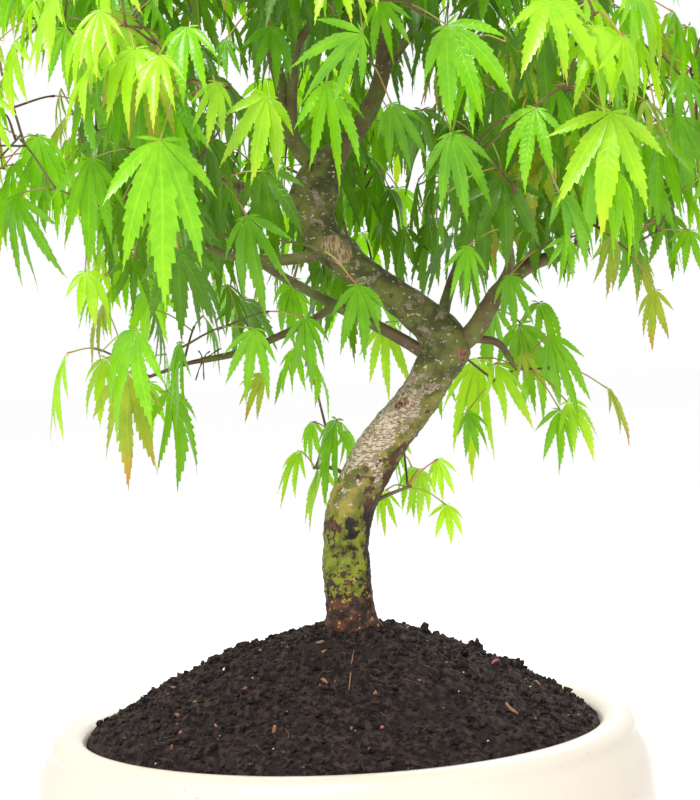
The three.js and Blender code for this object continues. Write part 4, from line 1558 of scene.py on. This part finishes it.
class Mass:
    """One mass of leaves as it grows: its space, its stem, its twigs and the lines of its stalks."""

    def __init__(self, name, start, lead, lean, growth):
        self.name = name
        self.lean = lean
        self.size = SHOOT_LEAF if name in SHOOTS else 1
        self.centre, self.radii, _ = SPACES[name]
        self.normals, self.limits = planes_of(name)
        self.hub = lead.lerp(self.centre, HUB_SHARE)
        self.twigs = [(lead, self.hub)]
        self.lines = [[start, lead, self.hub]]
        self.count = 0
        self.growth = growth
        self.chance = random.Random(name)

    def holds(self, points):
        """Whether points are in this space: in the crown or its own ball, off the window, in its planes."""
        nearer = np.minimum(reach_in(CROWN, points), reach_in((self.centre, self.radii), points))
        if (nearer > 1).any() or (reach_in(WINDOW, points) < 1).any():
            return False
        return bool((points @ self.normals.T < self.limits).all())

    def keep(self, leaf, line):
        leaf.mass = self.name
        self.growth.add(leaf, line)
        self.lines.append(line)
        self.count += 1
        if len(line) == 3:
            self.twigs.append((line[0], line[1]))

    def add_chosen(self, junction, tip, depth, turn, tint):
        """A leaf of the photo, at the first depth near its own where it has room and a stalk reaches it."""
        for shift in DEPTH_SHIFTS:
            leaf = chosen_leaf(junction, tip, depth + shift, turn, tint)
            line = find_stalk(leaf, self.twigs, self.growth) if self.growth.leaf_fits(leaf) else None
            if line:
                self.keep(leaf, line)
                self.growth.show(leaf)
                return

    def try_leaf(self, leaf, line=None):
        """Keep a leaf if it has room and a stalk reaches it, and give the stalk's line."""
        growth = self.growth
        if not self.holds(leaf.corners) or leaf.in_clear_place() or growth.hides_shown(leaf):
            return None
        if not growth.leaf_fits(leaf):
            return None
        if line is None:
            line = find_stalk(leaf, self.twigs, growth)
        elif not growth.stalk_fits([line[0], leaf.base.lerp(line[0], SPRAY_GAP)]):
            line = None
        if line:
            leaf.spray = growth.sprays
            self.keep(leaf, line)
        return line

    def grow_spray(self, place):
        """A leaf at a place, and more on the end of its twig where it has one."""
        outward = math.atan2(place.y - self.hub.y, place.x - self.hub.x)
        for turn in range(FACING_TRIES):
            facing = outward + (self.chance.random() - 0.5) * FACING_SPREAD * (1 + turn / 2)
            leaf = hanging_leaf(facing, self.lean, self.size, self.chance, place=place)
            self.growth.sprays += 1
            line = self.try_leaf(leaf)
            if line:
                if len(line) == 3:
                    self.fill_spray(line[1], facing)
                return

    def fill_spray(self, root, facing):
        """Leaves to both sides of the first on the same twig's end."""
        for side in SPRAY_SIDES:
            turn = facing + side * self.chance.uniform(*SPRAY_TURN)
            stalk = self.chance.uniform(*SPRAY_STALK) * self.size
            rise = self.chance.uniform(*SPRAY_RISE)
            foot = root + Vector((math.cos(turn), math.sin(turn), rise)).normalized() * stalk
            more = hanging_leaf(turn, self.lean, self.size * SPRAY_LEAF, self.chance, base=foot)
            self.try_leaf(more, [root, foot])

    def fill(self, most):
        """Leaves at random places, far apart first and then between."""
        spread = [[self.chance.uniform(-1, 1) for _ in range(3)] for _ in range(PLACE_TRIES)]
        places = np.array(spread) * np.array(self.radii) + np.array(self.centre)
        open_to = 0 if self.name in SHOOTS else CROWN_OPEN
        places = [p for p in places if self.holds(p[None]) and reach_in(CROWN, p[None])[0] > open_to]
        for spacing in LEAF_SPACINGS:
            for place in places:
                if self.count >= most:
                    return
                if not self.growth.near(place, spacing * self.size):
                    self.grow_spray(Vector(place))


def limb_tree():
    """The trunk and limbs with a little room round them, for keeping leaves clear."""
    parts = []
    for name in ("trunk", *LIMBS):
        points, radii = limb_line(name)
        rings = CLEAR_RINGS * len(points)
        girth = [radius + CLEAR_ROOM for radius in smooth_girth(radii, rings)]
        parts.append(swept(smooth_line(points, rings), girth, CLEAR_SIDES))
    return BVHTree.FromPolygons(*joined(parts))


def starts():
    """For each mass and shoot: its name, where its stem starts and heads, and how its leaves hang."""
    found = []
    for name, (_, _, bearer, lean) in MASSES.items():
        points, _ = limb_line(bearer)
        heading = end_heading(points)
        start = points[-1] - heading
        found.append((name, start, start + heading * STEM_LEAD, lean))
    points, radii = limb_line("trunk")
    for name, (_, _, at, heading, lean) in SHOOTS.items():
        start = curve_at(points, at)
        lead = start + Vector(heading).normalized() * (girth_at(radii, at) + STEM_LEAD)
        found.append((name, start, lead, lean))
    return found


def grow():
    """Grow all masses: the leaves that the photo shows first in each, so that others keep clear."""
    growth = Growth(limb_tree())
    masses = [Mass(*start, growth) for start in starts()]
    for mass in masses:
        for row in CHOSEN_LEAVES.get(mass.name, ()):
            mass.add_chosen(*row)
    for mass in masses:
        mass.fill(MOST_LEAVES.get(mass.name, MOST_ELSEWHERE))
    return growth.leaves, [mass.lines for mass in masses]


# Foliage as pieces


def tint_with_painted_light(leaf, chance):
    """A spray's tint by its place, as painted light and shade: deeper inside, paler outside and to the front
    and left.
    """
    if chance.random() < BRONZE_SHARES.get(leaf.mass, BRONZE_ELSEWHERE):
        return "bronze"
    middle = leaf.middle
    reach = reach_in(CROWN, np.array([middle]))[0]
    # Painted light and shade: the tint is lighter outside the crown and to the front and left, deeper inside
    light = PAINTED_LIGHT_OUTSIDE * (reach - PAINTED_LIGHT_FROM) - PAINTED_LIGHT_LEFT * middle.x - PAINTED_LIGHT_FRONT * middle.y
    light += chance.gauss(0, LIGHT_CHANCE)
    for tint, limit in TINT_LIMITS:
        if light < limit:
            return tint
    return "lime"


def add_leaves(leaves):
    """The leaves as joined pieces, one for each tint, with a tint dealt to each spray."""
    chance = random.Random(LEAF_SEED)
    forms = [leaf_form(chance) for _ in range(LEAF_FORMS)]
    dealt = {}
    flat = {tint: [] for tint in TINTS}
    hung = {tint: [] for tint in TINTS}
    for leaf in leaves:
        tint = leaf.tint or dealt.setdefault(leaf.spray, tint_with_painted_light(leaf, chance))
        rows, faces = forms[chance.randrange(LEAF_FORMS)]
        flat[tint].append(rows)
        hung[tint].append((hung_leaf(rows, leaf, chance), faces))
    for tint, tones in TINTS.items():
        nodes = ["leaves_" + name for name in SPACES] if tint == "mid" else ()
        rows = np.concatenate(flat[tint])
        layers = {"rib": rows[:, 3], "along": rows[:, 1] - EDGE_VEINS * np.abs(rows[:, 2])}
        skin = leaf_skin("leaf_" + tint, *tones)
        add_piece(tint + "_leaves", *joined(hung[tint]), skin, "foliage", nodes, **layers)


def add_twigs(lines):
    """Stems and twigs in one piece, and leaf stalks in another."""
    woody, stalks = [], []
    stem_radii = [STEM_RADIUS * (1 - TWIG_TAPER * i) for i in range(STEM_STEPS + 1)]
    twig_radii = [TWIG_RADIUS * (1 - TWIG_TAPER * i) for i in range(TWIG_STEPS)] + [TWIG_RADIUS]
    stalk_radii = [STALK_RADIUS] * STALK_STEPS + [STALK_RADIUS * STALK_HEEL]
    for stem, *others in lines:
        woody.append(swept(bent(stem, STEM_STEPS), stem_radii, STEM_SIDES))
        for line in others:
            if len(line) == 2:
                stalks.append(swept(bent(line, STALK_STEPS), stalk_radii, STALK_SIDES))
                continue
            whole = bent(line, 2 * TWIG_STEPS)
            end_radii = [STALK_RADIUS] * TWIG_STEPS + [STALK_RADIUS * STALK_HEEL]
            woody.append(swept(whole[: TWIG_STEPS + 1], twig_radii, TWIG_SIDES))
            stalks.append(swept(whole[TWIG_STEPS:], end_radii, STALK_SIDES))
    skin = twig_skin("twig_skin", (0.1, 0.035, 0.018), (0.12, 0.1, 0.03))
    add_piece("twigs", *joined(woody), skin, "bark")
    skin = twig_skin("stalk_skin", (0.38, 0.14, 0.06), (0.3, 0.34, 0.05))
    add_piece("leaf_stalks", *joined(stalks), skin, "foliage")


def add_dried_tufts():
    """Tufts of last year's dried stalks at the ends of some limbs."""
    chance = random.Random(DRIED_SEED)
    parts = []
    for name, count in DRIED_TUFTS:
        tip = curve_at(limb_line(name)[0], DRIED_FROM)
        for _ in range(count):
            heading = Vector((chance.gauss(0, 1), chance.gauss(0, 1), chance.gauss(*DRIED_RISE))).normalized()
            length = chance.uniform(*DRIED_LENGTHS)
            sag = Vector((0, 0, -DRIED_SAG * length * chance.random()))
            line = [tip, tip + heading * (0.5 * length), tip + heading * length + sag]
            parts.append(swept(bent(line, STALK_STEPS), DRIED_RADII, STALK_SIDES))
    skin = twig_skin("dried_skin", (0.035, 0.02, 0.012), (0.26, 0.19, 0.05))
    add_piece("dried_tufts", *joined(parts), skin, "bark")


bpy.context.scene.view_settings.view_transform = "Standard"
add_camera()
add_stage()
add_lights()
add_bowl()
add_soil_bits(add_soil())
add_trunk()
add_limbs()
grown_leaves, twig_lines = grow()
add_leaves(grown_leaves)
add_twigs(twig_lines)
add_dried_tufts()
